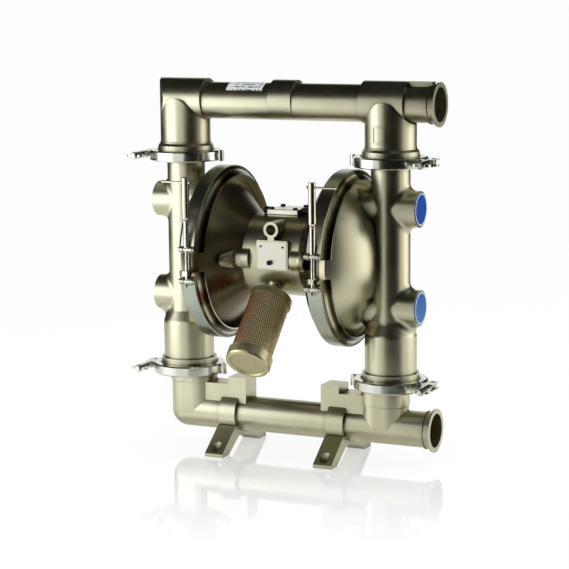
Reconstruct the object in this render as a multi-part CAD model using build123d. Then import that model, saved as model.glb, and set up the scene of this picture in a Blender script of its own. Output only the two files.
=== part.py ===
from build123d import *
import os
from math import asin, cos, radians, sin, sqrt, tan

# Air operated double diaphragm pump in cast stainless steel with sanitary clamped ports.
# Frame: millimetres, X along the manifolds (ports on +X), -Y is the front with the air inlet,
# +Z up, origin on the floor midway between the four feet.

# ---------------------------------------------------------------- driving dimensions
# layout
column_x = 199.0              # each fluid column's axis, either side of the centre
inlet_axis_z = 63.9           # height of the inlet manifold's pipe above the floor
inlet_neck_height = 79.3      # from the inlet pipe's axis up to the lower clamped joint
lower_joint_gap = 61.6        # from the lower joint up to the V-band
upper_joint_gap = 17.0        # from the V-band up to the upper clamped joint
outlet_riser_height = 99.3    # from the upper joint up to the outlet pipe's axis
outlet_face_x = 290.0         # end face of the outlet ferrule
inlet_face_x = 283.8          # end face of the inlet ferrule

# port ferrules, 2.5 inch sanitary
port_tube_radius = 31.75
port_bore_radius = 30.1
port_ferrule_radius = 38.7
port_ferrule_edge = 2.85
port_neck_length = 12.0
port_bead_radius = 34.0
port_bead_width = 2.4
port_counterbore_length = 26.0
passage_radius = 29.0

# column joints, 4 inch sanitary
joint_tube_radius = 50.8
joint_ferrule_rim = 8.7        # ferrule's rim outside the tube
joint_ferrule_edge = 2.85
ferrule_flank_angle = 20.0
joint_gasket_thickness = 2.0

# outlet manifold
outlet_pipe_radius = 32.7
outlet_hub_radius = 37.4
outlet_hub_raise = 2.0        # the tee hubs sit a little above the pipe's axis
outlet_hub_inner_x = 152.0
outlet_hub_port_x = 234.0
riser_radius = 45.2
riser_bore_radius = 41.5
riser_flare_height = 21.0
riser_arch_rise = 14.0
riser_arch_tip_radius = 22.0
arch_foot_height = 40.0
collar_radius = 35.5
collar_raise = 3.0
collar_x = (-20.0, 24.5)
outlet_rib_width = 18.0
outlet_rib_top = 39.0
cast_pad_size = (25.0, 30.0)
cast_pad_drop = 51.5          # pad's centre below the outlet pipe's axis
cast_pad_proud = 1.0

# inlet manifold
inlet_neck_radius = 32.4
inlet_neck_step = 1.6
left_neck_collar = 23.2       # collar's lower edge below the lower joint
right_neck_collar = 38.8
neck_offset = 20.0            # both necks are widened towards the centre
neck_widening_drop = 12.0
web_half_thickness = 22.5
web_x = (74.0, 150.0)
web_tab_x = 109.0
web_height = 55.9             # above the inlet pipe's axis
web_tab_height = 69.5
web_overrun = 20.0            # how far the web runs into the neck

# foot saddles
foot_x = 106.0
foot_y = 79.2
foot_bolt_radius = 6.5
foot_bolt_clearance_radius = 9.8
saddle_width = 32.0
saddle_radius = 39.0
foot_pad_length = 27.0
foot_pad_height = 6.0
leg_width = 35.0
leg_inner_y = 24.0            # where each leg's inner flank meets the strap
saddle_relief_y = 10.0
leg_root_drop = 18.0          # leg's root below the pipe's axis

# fluid covers
column_radius = 34.4
column_bore_radius = 27.5
lower_tube_radius = 45.9
lower_tube_height = 87.8      # wide lower tube's top above the lower joint
shoulder_height = 22.0
shoulder_round = 14.0
lower_ring_radius = 50.2
lower_ring_height = 13.0
lower_groove_width = 2.2
upper_boss_rise = 91.5        # above the diaphragm axis
lower_boss_drop = 81.5        # below it
boss_radius = 32.0
boss_start_x = 143.0          # inside the dome, so the cross passage has a wall all the way
boss_end_x = 254.0
boss_blend_radius = 14.0
cross_bore_radius = 21.0
dome_apex_x = 190.0
cover_wall = 6.0

# diaphragm joint and V-band
diaphragm_x = 119.45
diaphragm_thickness = 4.0
flange_radius = 146.0
flange_edge = 5.0
flange_taper = 12.0           # radial length of the flange's sloping flank
flange_root = 9.4
segment_height = 8.6          # V segment outside the flange's rim
segment_shoulder = 5.0
segment_leg_reach = 8.0       # how far the V's legs reach inside the rim
segment_lip_half = 25.0       # the legs flare out to a thin lip this far from the band's middle
segment_lip_thickness = 1.5
strap_edge_inset = 1.0
strap_thickness = 1.6
strap_width = 25.0
band_width = 29.5
segment_count = 4
segment_gap = 3.0
front_gap = 34.0
upper_trunnion_offset = 24.0  # above the diaphragm axis
lower_trunnion_offset = 32.0  # below it, clear of the lock block
trunnion_radius = 4.0
trunnion_length = 30.0
strap_fold_reach = 88.0
strap_slot_width = 11.0

# T-bolts that close the V-bands
t_bolt_radius = 3.0
t_bolt_rise = 104.0           # bolt's top above the diaphragm axis, as are the next rises
t_nut_neck_radius = 4.8
t_nut_bead = 0.7
t_nut_neck_rise = 78.0
t_nut_radius = 6.5
t_nut_rise = 150.0
t_nut_blind_depth = 12.0      # thread's run-out above the bolt's end
t_bar_radius = 1.9
t_bar_head_radius = 2.7
t_bar_head_length = 2.5
t_bar_length = 54.0
t_bar_rise = 141.0
lock_block = (9.0, 12.0, 9.0)
lock_block_drop = 18.0        # below the diaphragm axis

# sanitary column clamps
clamp_wall = 6.0              # clamp ring outside the ferrule's rim
clamp_height = 18.5
clamp_tube_gap = 1.4          # clamp ring's mouth off the tube
clamp_split = 3.0
clamp_hinge_reach = 4.0       # hinge pin's axis outside the clamp ring
clamp_knuckle_radius = 6.5
clamp_pin_radius = 3.0
clamp_bolt_reach = 10.5       # swing bolt's axis outside the clamp ring
clamp_ear_overhang = 9.0      # ear's end past the bolt's axis
clamp_ear_depth = 17.0
clamp_bolt_radius = 4.0
clamp_bolt_length = 72.0
clamp_pivot_y = 9.0
bolt_eye_radius = 7.5
bolt_eye_thickness = 9.0
wing_hub_radius = 7.0
wing_hub_length = 41.0
wing_span = 33.0
wing_length = 15.0
wing_thickness = 4.0

# check balls and seats
ball_radius = 32.0
ball_lift = 16.0
seat_bore_radius = 25.0
seat_outer_radius = 42.0
seat_height = 9.0
seat_contact_radius = 28.5
rib_count = 4
rib_thickness = 7.0
rib_inner_radius = 20.0

# air covers
housing_radius = 72.0
housing_half_length = 54.0
air_cover_disc = 9.0
air_cover_disc_bore = 15.0
air_cover_throat_radius = 60.0
air_cover_bolt_circle = 42.0
air_cover_bolt_radius = 4.0
air_cover_bolt_head_radius = 6.5
air_cover_bolt_head_height = 5.0
air_cover_bolt_count = 6
air_cover_step = (3.0, 1.5)   # small step where the cover meets the housing
air_cover_arc_lead = 3.0
air_cover_arc_sag = 3.25      # outer arc's middle inside the straight line
air_cover_rim_depth = 8.0
chamber_arc_lead = 10.0
chamber_arc_sag = 1.0
nose_inset = 11.0             # nose and lug centres inside the barrel's front
nose_radius = 14.0
nose_tip_radius = 8.6
nose_tip_x = 79.0
nose_tip_shift = 36.0         # the nose leans forward along the bowl
lug_radius = 19.7
lug_start_x = 40.0

# centre housing
housing_wall = 8.0
housing_end_wall = 12.0
hub_radius = 24.0
valve_block_root = 40.0       # valve block's foot above the shaft's axis
valve_block_depth = 20.0      # solid block left under the valve's seat
inlet_boss_x = 4.0
inlet_boss_rise = 53.5        # above the shaft's axis
inlet_boss_radius = 14.0
inlet_hole_radius = 9.3
inlet_hole_depth = 30.0
front_face_proud = 4.0        # machined front face ahead of the barrel
front_boss_root_y = -20.0
pad_x = (-24.0, 36.0)
pad_rise = (-17.0, 35.0)
pad_corner = 4.0
pad_neck_width = 12.0
plate_thickness = 1.0
plate_margin = 2.5
plate_screw_radius = 1.9
plate_screw_head = 1.1
plate_screw_inset = (9.0, 11.0)
screw_shank_share = 0.6       # shank's radius as a share of the head's
screw_depth = 4.0
ground_screw_x = 2.0
ground_screw_drop = 4.0
ground_screw_radius = 4.4
ground_screw_head = 4.5
exhaust_boss_radius = 15.0

# shaft, bearings, plates and pilot pins
shaft_radius = 11.0
shaft_stud_radius = 6.0
bearing_radius = 15.0
bearing_length = 22.0
air_plate_radius = 70.0
air_plate_thickness = 10.0
fluid_plate_radius = 74.0
fluid_plate_thickness = 13.0
shaft_stroke = 18.0
pilot_pin_radius = 4.0
pilot_pin_collar_radius = 6.0
pilot_pin_collar = 3.5
pilot_pin_inner_x = 31.0
pilot_pin_z = 34.0            # above the shaft's axis

# air valve on top of the housing
valve_half_length = 29.0
valve_y = (-18.0, 42.0)
valve_seat_rise = 0.5         # seat above the housing's barrel
valve_gasket_thickness = 1.6
valve_body_height = 8.4
valve_axis_y = 5.0
valve_bore_height = 4.4       # spool's axis above the body's underside
valve_bore_radius = 3.4
spool_travel = 4.0            # each way from the middle
spool_end_room = 2.0          # left at each end at full travel
spool_groove_depth = 1.4
valve_cap_radius = 6.0
valve_cap_length = 16.0
valve_screw_radius = 3.0
valve_screw_head_radius = 4.4
valve_screw_head_height = 3.2
valve_screw_inset = 6.5

# exhaust muffler, hung at an angle in front of the housing
muffler_tilt = 45.0
muffler_root_lift = 0.125     # root plane ahead of the barrel's surface
muffler_nipple_radius = 10.5
muffler_head_start = 20.0
muffler_head_length = 15.0
muffler_head_radius = 38.5
muffler_sleeve_radius = 36.0
muffler_sleeve_wall = 1.2
muffler_sleeve_length = 110.0
muffler_cap_radius = 40.0
muffler_cap_length = 23.0
muffler_cap_recess = 2.5
muffler_core_radius = 30.0

# badges on the port-side bosses
badge_radius = 29.0
badge_thickness = 1.4

# clearances
running_clearance = 0.05      # shaft in bearing, spool and pins in their bores
free_clearance = 0.3          # faces that pass each other
seat_clearance = 0.1          # castings and clamps that seat on each other

overcut = 1.0                 # how far a cutter runs past the face it cuts
far = 300.0                   # past everything on one side

# ---------------------------------------------------------------- derived places
joint_ferrule_radius = joint_tube_radius + joint_ferrule_rim
clamp_radius = joint_ferrule_radius + clamp_wall
clamp_inner_radius = joint_tube_radius + clamp_tube_gap
clamp_hinge_radius = clamp_radius + clamp_hinge_reach
clamp_bolt_offset = clamp_radius + clamp_bolt_reach
clamp_ear_end = clamp_bolt_offset + clamp_ear_overhang
strap_inner_radius = flange_radius + segment_height
band_radius = strap_inner_radius + strap_thickness
flange_root_radius = flange_radius - flange_taper
band_leg_radius = flange_radius - segment_leg_reach
lower_joint_z = inlet_axis_z + inlet_neck_height
diaphragm_axis_z = lower_joint_z + lower_joint_gap + band_radius
upper_joint_z = diaphragm_axis_z + band_radius + upper_joint_gap
outlet_axis_z = upper_joint_z + outlet_riser_height
upper_boss_z = diaphragm_axis_z + upper_boss_rise
lower_boss_z = diaphragm_axis_z - lower_boss_drop
lower_tube_top_z = lower_joint_z + lower_tube_height
cast_pad_z = outlet_axis_z - cast_pad_drop
t_bolt_top_z = diaphragm_axis_z + t_bolt_rise
t_nut_neck_top_z = diaphragm_axis_z + t_nut_neck_rise
t_nut_top_z = diaphragm_axis_z + t_nut_rise
t_bar_z = diaphragm_axis_z + t_bar_rise
lock_block_z = diaphragm_axis_z - lock_block_drop
nose_y = nose_inset - housing_radius
inlet_boss_z = diaphragm_axis_z + inlet_boss_rise
inlet_face_y = -housing_radius - front_face_proud
pad_z = (diaphragm_axis_z + pad_rise[0], diaphragm_axis_z + pad_rise[1])
ground_screw_z = diaphragm_axis_z - ground_screw_drop
valve_seat_z = diaphragm_axis_z + housing_radius + valve_seat_rise
valve_axis_z = valve_seat_z + valve_gasket_thickness + valve_bore_height
muffler_root = housing_radius + muffler_root_lift
muffler_root_y = -muffler_root * sin(radians(muffler_tilt))
muffler_root_z = diaphragm_axis_z - muffler_root * cos(radians(muffler_tilt))
flank = tan(radians(ferrule_flank_angle))
half_gasket = joint_gasket_thickness / 2
ball_centre_rise = seat_height + sqrt((ball_radius + free_clearance) ** 2 - seat_contact_radius ** 2)
half_diaphragm = diaphragm_thickness / 2
flange_flank = (flange_root - flange_edge) / (flange_radius - flange_root_radius)
loop_outer_radius = trunnion_radius + seat_clearance + strap_thickness
trunnion_circle = strap_inner_radius + loop_outer_radius
t_bolt_y = -sqrt(trunnion_circle ** 2 - upper_trunnion_offset ** 2)
trunnion_heights = (upper_trunnion_offset, -lower_trunnion_offset)


# ---------------------------------------------------------------- shape helpers
def rod(axis, radius, start, end, u=0.0, v=0.0):
    """Round bar along one axis from start to end; u, v place its centre on the other two axes."""
    length = end - start
    middle = (start + end) / 2
    if axis == "x":
        return Pos(middle, u, v) * Rot(0, 90, 0) * Cylinder(radius, length)
    if axis == "y":
        return Pos(u, middle, v) * Rot(90, 0, 0) * Cylinder(radius, length)
    return Pos(u, v, middle) * Cylinder(radius, length)


def tube(axis, outer, inner, start, end, u=0.0, v=0.0):
    return rod(axis, outer, start, end, u, v) - rod(axis, inner, start - 1, end + 1, u, v)


def block(x, y, z):
    """Box between the given pairs of limits."""
    size = (x[1] - x[0], y[1] - y[0], z[1] - z[0])
    return Pos((x[0] + x[1]) / 2, (y[0] + y[1]) / 2, (z[0] + z[1]) / 2) * Box(*size)


def turned_z(points, x=0.0, y=0.0):
    """Solid of revolution about a vertical axis from (radius, height) points."""
    profile = make_face(Plane.XZ * Polyline(*points, close=True))
    return Pos(x, y, 0) * revolve(profile, Axis.Z)


def turned_x(points, z=0.0):
    """Solid of revolution about a line along X at height z from (x, radius) points."""
    profile = make_face(Plane.XZ * Polyline(*points, close=True))
    return Pos(0, 0, z) * revolve(profile, Axis.X)


def left_of(shape):
    return mirror(shape, about=Plane.YZ)


def save(name, *shapes):
    solids = [solid for shape in shapes for solid in shape.solids()]
    body = solids[0] if len(solids) == 1 else Compound(solids)
    body.label = name
    export_step(body, "parts/" + name + ".step")


# ---------------------------------------------------------------- ferrules and check valves
def port_stub(face_x, axis_z, start_x):
    """Solid port end along X with a weld bead and a sanitary ferrule."""
    root = port_ferrule_edge + flank * (port_ferrule_radius - port_tube_radius)
    bead_x = face_x - port_neck_length - port_bead_width
    outline = [
        (start_x, 0), (start_x, port_tube_radius), (bead_x - port_bead_width, port_tube_radius),
        (bead_x - port_bead_width, port_bead_radius), (bead_x, port_bead_radius),
        (bead_x, port_tube_radius), (face_x - root, port_tube_radius),
        (face_x - port_ferrule_edge, port_ferrule_radius), (face_x, port_ferrule_radius), (face_x, 0),
    ]
    return turned_x(outline, axis_z)


def port_bore(face_x, axis_z, far_x):
    """Bore of the port's size at its mouth, then the manifold's passage."""
    mouth = rod("x", port_bore_radius, face_x - port_counterbore_length, face_x + 1, 0, axis_z)
    return mouth + rod("x", passage_radius, far_x, face_x, 0, axis_z)


def ball_centre(joint_z):
    return joint_z - half_gasket + ball_centre_rise


def ball_cage(joint_z, wall_radius):
    """Guide ribs round a check ball's travel, with ledges that stop it at full lift."""
    centre = ball_centre(joint_z)
    reach = ball_radius + free_clearance + 0.5
    top = centre + ball_lift
    low = joint_z - half_gasket + seat_height + 2 * free_clearance
    high = top + ball_radius * 0.72
    ribs = Part()
    for index in range(rib_count):
        angle = 360 / rib_count * (index + 0.5)
        half = rib_thickness / 2
        rib = block((rib_inner_radius, wall_radius + overcut), (-half, half), (low, high))
        ribs += Rot(0, 0, angle) * rib
    travel = rod("z", reach, centre - ball_radius, top)
    travel += Pos(0, 0, top) * Sphere(reach)
    return Pos(column_x, 0, 0) * (ribs - travel)


# ---------------------------------------------------------------- outlet manifold
def riser(joint_z):
    """Port-side riser: ferrule, flare and tube, cut to an arch where it meets the hub."""
    face = joint_z + half_gasket
    root = joint_ferrule_edge + flank * (joint_ferrule_radius - joint_tube_radius)
    flare_start = face + root + 3.5
    outline = [
        (0, face), (joint_ferrule_radius, face), (joint_ferrule_radius, face + joint_ferrule_edge),
        (joint_tube_radius, face + root), (joint_tube_radius, flare_start),
        (joint_tube_radius - 1.0, flare_start + riser_flare_height * 0.35),
        (riser_radius + 1.2, flare_start + riser_flare_height * 0.55),
        (riser_radius, flare_start + riser_flare_height * 0.75),
        (riser_radius, outlet_axis_z + riser_arch_rise), (0, outlet_axis_z + riser_arch_rise),
    ]
    shaft = turned_z(outline, column_x)
    side = riser_radius + 1
    wide = joint_ferrule_radius + 1
    shoulder_z = outlet_axis_z - riser_radius + 9
    arch = Polyline(
        (-wide, face - 1), (-wide, face + arch_foot_height), (-side, face + arch_foot_height),
        (-side, shoulder_z),
        (0, outlet_axis_z + riser_arch_rise), (side, shoulder_z), (side, face + arch_foot_height),
        (wide, face + arch_foot_height), (wide, face - 1), close=True,
    )
    arch_face = make_face(Plane.XZ * arch)
    tip = arch_face.vertices().sort_by(Axis.Z)[-1]
    arch_face = fillet(tip, riser_arch_tip_radius)
    gate = Pos(column_x, 0, 0) * extrude(arch_face, amount=80, both=True)
    return shaft & gate


def outlet_manifold():
    axis_z = outlet_axis_z
    hub_z = outlet_axis_z + outlet_hub_raise
    body = rod("x", outlet_pipe_radius, -outlet_hub_inner_x - 10, outlet_hub_port_x, 0, axis_z)
    left_hub = rod("x", outlet_hub_radius, -column_x - 2 * riser_radius, -outlet_hub_inner_x, 0, hub_z)
    hub_heights = (hub_z - 2 * outlet_hub_radius, hub_z + 2 * outlet_hub_radius)
    closed_end = rod("z", riser_radius, *hub_heights, -column_x)
    left_hub &= closed_end + block((-column_x, 0), (-riser_radius, riser_radius), hub_heights)
    right_hub = rod("x", outlet_hub_radius, outlet_hub_inner_x, outlet_hub_port_x, 0, hub_z)
    collar = rod("x", collar_radius, collar_x[0], collar_x[1], 0, axis_z + collar_raise)
    rib_z = (axis_z + port_tube_radius * 0.6, axis_z + outlet_rib_top)
    rib_half = outlet_rib_width / 2
    rib = block((outlet_hub_port_x - 5, outlet_face_x - port_neck_length), (-rib_half, rib_half), rib_z)
    pad_half = cast_pad_size[0] / 2
    pad = rod("z", riser_radius + cast_pad_proud, cast_pad_z - cast_pad_size[1] / 2,
              cast_pad_z + cast_pad_size[1] / 2, column_x)
    pad &= block((column_x - pad_half - 4, column_x + pad_half - 4), (-80, 0), (0, 800))
    right_riser = riser(upper_joint_z)
    body += left_hub + right_hub + collar + rib + port_stub(outlet_face_x, axis_z, outlet_hub_port_x - 5)
    body += right_riser + left_of(right_riser) + pad
    face = upper_joint_z + half_gasket
    seat_hole = seat_outer_radius + seat_clearance
    seat_top = upper_joint_z - half_gasket + seat_height + seat_clearance
    throat_z = outlet_axis_z - 38
    inside = turned_z([
        (0, face - 1), (seat_hole, face - 1), (seat_hole, seat_top), (riser_bore_radius, seat_top),
        (riser_bore_radius, throat_z), (passage_radius - 3, throat_z + 20),
        (passage_radius - 3, outlet_axis_z), (0, outlet_axis_z),
    ], column_x)
    body -= inside + left_of(inside) + port_bore(outlet_face_x, axis_z, -column_x - passage_radius)
    cage = ball_cage(upper_joint_z, riser_bore_radius)
    return body + cage + left_of(cage)


# ---------------------------------------------------------------- inlet manifold
def inlet_neck(step_z):
    """Port-side neck: ferrule, collar and pipe down to the axis, widened towards the centre."""
    face = lower_joint_z - half_gasket
    root = joint_ferrule_edge + flank * (joint_ferrule_radius - joint_tube_radius)
    collar = inlet_neck_radius + inlet_neck_step
    neck = turned_z([
        (0, face), (joint_ferrule_radius, face), (joint_ferrule_radius, face - joint_ferrule_edge),
        (joint_tube_radius, face - root), (collar, face - root - 3), (collar, step_z),
        (inlet_neck_radius, step_z - inlet_neck_step), (inlet_neck_radius, inlet_axis_z), (0, inlet_axis_z),
    ], column_x)
    step_top = lower_joint_z - neck_widening_drop
    inner_x = column_x - neck_offset
    for radius, low, high in ((inlet_neck_radius, inlet_axis_z, step_z), (collar, step_z, step_top)):
        neck += rod("z", radius, low, high, inner_x)
        neck += block((inner_x, column_x), (-radius, radius), (low, high))
    return neck


def web():
    """Lifting and bracing web cast on top of the pipe, with a raised tab towards the centre."""
    low = inlet_axis_z
    depth = (-web_half_thickness, web_half_thickness)
    return block((web_tab_x - 1, web_x[1] + web_overrun), depth, (low, low + web_height)) + block(
        (web_x[0], web_tab_x), depth, (low, low + web_tab_height))


def inlet_manifold():
    axis_z = inlet_axis_z
    pipe = rod("x", port_tube_radius, -column_x, inlet_face_x - 30, 0, axis_z)
    elbow = Pos(-column_x, 0, axis_z) * Sphere(inlet_neck_radius)
    elbow += rod("x", inlet_neck_radius, -column_x, -foot_x - leg_width / 2 - overcut, 0, axis_z)
    left_neck = left_of(inlet_neck(lower_joint_z - left_neck_collar))
    body = pipe + elbow + left_neck + inlet_neck(lower_joint_z - right_neck_collar)
    body += web() + left_of(web()) + port_stub(inlet_face_x, axis_z, inlet_face_x - 40)
    passage = rod("z", column_bore_radius, axis_z, lower_joint_z, column_x)
    corner = Pos(-column_x, 0, axis_z) * Sphere(column_bore_radius)
    body -= passage + left_of(passage) + corner + port_bore(inlet_face_x, axis_z, -column_x)
    return body


def foot_saddle():
    """Port-side saddle: a strap round the pipe with a leg and a bolted pad to front and rear."""
    half = saddle_width / 2
    ring = rod("x", saddle_radius, foot_x - half, foot_x + half, 0, inlet_axis_z)
    pad_end = foot_y + foot_pad_length / 2
    pad_start = foot_y - foot_pad_length / 2
    top_z = inlet_axis_z - leg_root_drop
    leg_outline = Polyline(
        (pad_end, 0), (pad_end, foot_pad_height), (saddle_radius - 1.5, top_z),
        (saddle_relief_y, top_z), (saddle_relief_y, inlet_axis_z - saddle_radius + 2),
        (leg_inner_y, inlet_axis_z - saddle_radius),
        (pad_start, 0), close=True,
    )
    leg = extrude(make_face(Plane.YZ * leg_outline), amount=leg_width / 2, both=True)
    leg = Pos(foot_x, 0, 0) * leg
    body = ring + leg + mirror(leg, about=Plane.XZ)
    body -= rod("x", port_tube_radius, foot_x - leg_width, foot_x + leg_width, 0, inlet_axis_z)
    slot = web_half_thickness
    wide = (foot_x - leg_width, foot_x + leg_width)
    body -= block(wide, (-slot, slot), (inlet_axis_z, inlet_axis_z + 2 * saddle_radius))
    for y in (-foot_y, foot_y):
        body -= rod("z", foot_bolt_radius, -overcut, inlet_axis_z, foot_x, y)
        body -= rod("z", foot_bolt_clearance_radius, foot_pad_height, inlet_axis_z, foot_x, y)
    return body


# ---------------------------------------------------------------- fluid covers
def dome(apex_x, edge_x, edge_radius, base_x):
    """Solid spherical cap about the diaphragm axis, closed by a disc at base_x."""
    rise = apex_x - edge_x
    sphere_radius = (edge_radius ** 2 + rise ** 2) / (2 * rise)
    centre_x = apex_x - sphere_radius
    half_angle = asin(edge_radius / sphere_radius) / 2
    middle = (centre_x + sphere_radius * cos(half_angle), sphere_radius * sin(half_angle))
    outline = Plane.XZ * (
        Polyline((edge_x, edge_radius), (base_x, edge_radius), (base_x, 0), (apex_x, 0))
        + ThreePointArc((apex_x, 0), middle, (edge_x, edge_radius))
    )
    return Pos(0, 0, diaphragm_axis_z) * revolve(make_face(outline), Axis.X)


def fluid_cover():
    flange_face = diaphragm_x + half_diaphragm
    root_x = flange_face + flange_root
    flange = turned_x([
        (flange_face, 0), (flange_face, flange_radius), (flange_face + flange_edge, flange_radius),
        (root_x, flange_root_radius), (root_x, 0),
    ], diaphragm_axis_z)
    shell = flange + dome(dome_apex_x, root_x, flange_root_radius, flange_face + 1)
    top_face = upper_joint_z - half_gasket
    root = joint_ferrule_edge + flank * (joint_ferrule_radius - joint_tube_radius)
    low_face = lower_joint_z + half_gasket
    ring_top = low_face + root + lower_ring_height
    outline = Polyline(
        (0, low_face), (joint_ferrule_radius, low_face), (joint_ferrule_radius, low_face + joint_ferrule_edge),
        (joint_tube_radius, low_face + root), (lower_ring_radius, low_face + root + 2),
        (lower_ring_radius, ring_top), (lower_tube_radius - 1, ring_top),
        (lower_tube_radius - 1, ring_top + lower_groove_width),
        (lower_tube_radius, ring_top + lower_groove_width),
        (lower_tube_radius, lower_tube_top_z), (column_radius, lower_tube_top_z + shoulder_height),
        (column_radius, top_face - root - 3),
        (joint_tube_radius, top_face - root), (joint_ferrule_radius, top_face - joint_ferrule_edge),
        (joint_ferrule_radius, top_face), (0, top_face), close=True,
    )
    profile = make_face(Plane.XZ * outline)
    shoulder = [corner for corner in profile.vertices()
                if lower_tube_top_z - 1 < corner.Z < lower_tube_top_z + shoulder_height + 1]
    profile = fillet(shoulder, shoulder_round)
    column = Pos(column_x, 0, 0) * revolve(profile, Axis.Z)
    for boss_z in (upper_boss_z, lower_boss_z):
        column += rod("x", boss_radius, boss_start_x, boss_end_x, 0, boss_z)
    junctions = [edge for edge in column.edges() if edge.geom_type not in (GeomType.CIRCLE, GeomType.LINE)]
    column = fillet(junctions, boss_blend_radius)
    body = column + shell
    seat_hole = seat_outer_radius + seat_clearance
    seat_top = lower_joint_z - half_gasket + seat_height + seat_clearance
    inside = turned_z([
        (0, low_face - 1), (seat_hole, low_face - 1), (seat_hole, seat_top), (riser_bore_radius, seat_top),
        (riser_bore_radius, lower_tube_top_z), (column_bore_radius, lower_tube_top_z + 18),
        (column_bore_radius, top_face + 1), (0, top_face + 1),
    ], column_x)
    chamber = dome(dome_apex_x - cover_wall, root_x, flange_root_radius - cover_wall - 2, flange_face - 1)
    body -= inside + chamber
    for boss_z in (upper_boss_z, lower_boss_z):
        body -= rod("x", cross_bore_radius, boss_start_x, boss_end_x - cover_wall, 0, boss_z)
    return body + ball_cage(lower_joint_z, riser_bore_radius)


# ---------------------------------------------------------------- diaphragm joints
def clamp_band_segments():
    """V segments that draw the two flanges together; a wide gap in front leaves room for the bolt."""
    inner_flank_edge = half_diaphragm + flange_edge + seat_clearance
    leg_inner = inner_flank_edge + flange_flank * (flange_radius - band_leg_radius)
    half = band_width / 2
    top_half = strap_width / 2 - strap_edge_inset
    lip_top = band_leg_radius + segment_lip_thickness
    section = [
        (-top_half, strap_inner_radius), (top_half, strap_inner_radius),
        (half, strap_inner_radius - segment_shoulder), (segment_lip_half, lip_top),
        (segment_lip_half, band_leg_radius), (leg_inner, band_leg_radius),
        (inner_flank_edge, flange_radius + seat_clearance),
        (-inner_flank_edge, flange_radius + seat_clearance), (-leg_inner, band_leg_radius),
        (-segment_lip_half, band_leg_radius), (-segment_lip_half, lip_top),
        (-half, strap_inner_radius - segment_shoulder),
    ]
    ring = turned_x([(diaphragm_x + x, r) for x, r in section])
    reach = band_radius + 10
    for index in range(segment_count):
        gap = front_gap if index == 0 else segment_gap
        cut = block((0, far), (-reach, 0), (-gap / 2, gap / 2))
        ring -= Rot(-360 / segment_count * index, 0, 0) * cut
    return Pos(0, 0, diaphragm_axis_z) * ring


def clamp_band_strap():
    """Thin strap over the segments; both ends fold back round a trunnion bar in front."""
    half = strap_width / 2
    x0 = diaphragm_x - half
    x1 = diaphragm_x + half
    inner = strap_inner_radius
    fold = band_radius + strap_thickness
    front = block((0, far), (-far, 0), (-lower_trunnion_offset, upper_trunnion_offset))
    folds = tube("x", fold, band_radius, x0, x1)
    folds &= block((0, far), (-far, 0), (-strap_fold_reach, strap_fold_reach))
    band = tube("x", band_radius, inner, x0, x1) + folds - front
    for z in trunnion_heights:
        band += rod("x", loop_outer_radius, x0, x1, t_bolt_y, z)
    for z in trunnion_heights:
        band -= rod("x", trunnion_radius + seat_clearance, x0 - 1, x1 + 1, t_bolt_y, z)
    slot = strap_slot_width / 2
    reach = lower_trunnion_offset + 3 * trunnion_radius
    behind = t_bolt_y + loop_outer_radius + trunnion_radius
    band -= block((diaphragm_x - slot, diaphragm_x + slot), (-far, behind), (-reach, reach))
    return Pos(0, 0, diaphragm_axis_z) * band


def trunnions():
    """Two bars in the strap's end loops, drilled for the T-bolt."""
    half = trunnion_length / 2
    bars = []
    for height in trunnion_heights:
        z = diaphragm_axis_z + height
        bar = rod("x", trunnion_radius, diaphragm_x - half, diaphragm_x + half, t_bolt_y, z)
        bars.append(bar - rod("z", t_bolt_radius, z - 20, z + 20, diaphragm_x, t_bolt_y))
    return bars


def t_bolt():
    """Threaded bolt from the lower trunnion up into the long nut, with its lock block."""
    low = diaphragm_axis_z - lower_trunnion_offset - trunnion_radius
    shank = rod("z", t_bolt_radius, low, t_bolt_top_z, diaphragm_x, t_bolt_y)
    half_x, depth, height = lock_block[0] / 2, lock_block[1], lock_block[2] / 2
    lock = block((diaphragm_x - half_x, diaphragm_x + half_x),
                 (t_bolt_y - depth + t_bolt_radius + 1, t_bolt_y + t_bolt_radius + 1),
                 (lock_block_z - height, lock_block_z + height))
    return shank + lock


def t_nut():
    """Long sleeve nut turned by its crossbar."""
    low = diaphragm_axis_z + upper_trunnion_offset + trunnion_radius + free_clearance
    body = turned_z([
        (0, low), (t_nut_neck_radius, low), (t_nut_neck_radius, t_nut_neck_top_z - 6),
        (t_nut_neck_radius + t_nut_bead, t_nut_neck_top_z - 5),
        (t_nut_neck_radius + t_nut_bead, t_nut_neck_top_z - 3),
        (t_nut_neck_radius, t_nut_neck_top_z - 2), (t_nut_radius - 0.8, t_nut_neck_top_z),
        (t_nut_radius, t_nut_neck_top_z + 1.5), (t_nut_radius, t_nut_top_z - 1),
        (t_nut_radius - 1, t_nut_top_z), (0, t_nut_top_z),
    ], diaphragm_x, t_bolt_y)
    thread = t_bolt_radius + running_clearance
    body -= rod("z", thread, low - overcut, t_bolt_top_z + t_nut_blind_depth, diaphragm_x, t_bolt_y)
    cross = 2 * t_nut_radius
    hole = t_bar_radius + running_clearance
    return body - rod("x", hole, diaphragm_x - cross, diaphragm_x + cross, t_bolt_y, t_bar_z)


def t_bar_start():
    """Inner end of the crossbar's rod when it has slid fully outwards."""
    return diaphragm_x - t_nut_radius - free_clearance - t_bar_head_length


def t_bar():
    """Loose crossbar with upset ends, slid outwards in the nut."""
    start = t_bar_start()
    end = start + t_bar_length
    bar = rod("x", t_bar_radius, start, end, t_bolt_y, t_bar_z)
    bar += rod("x", t_bar_head_radius, start, start + t_bar_head_length, t_bolt_y, t_bar_z)
    return bar + rod("x", t_bar_head_radius, end - t_bar_head_length, end, t_bolt_y, t_bar_z)


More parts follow.
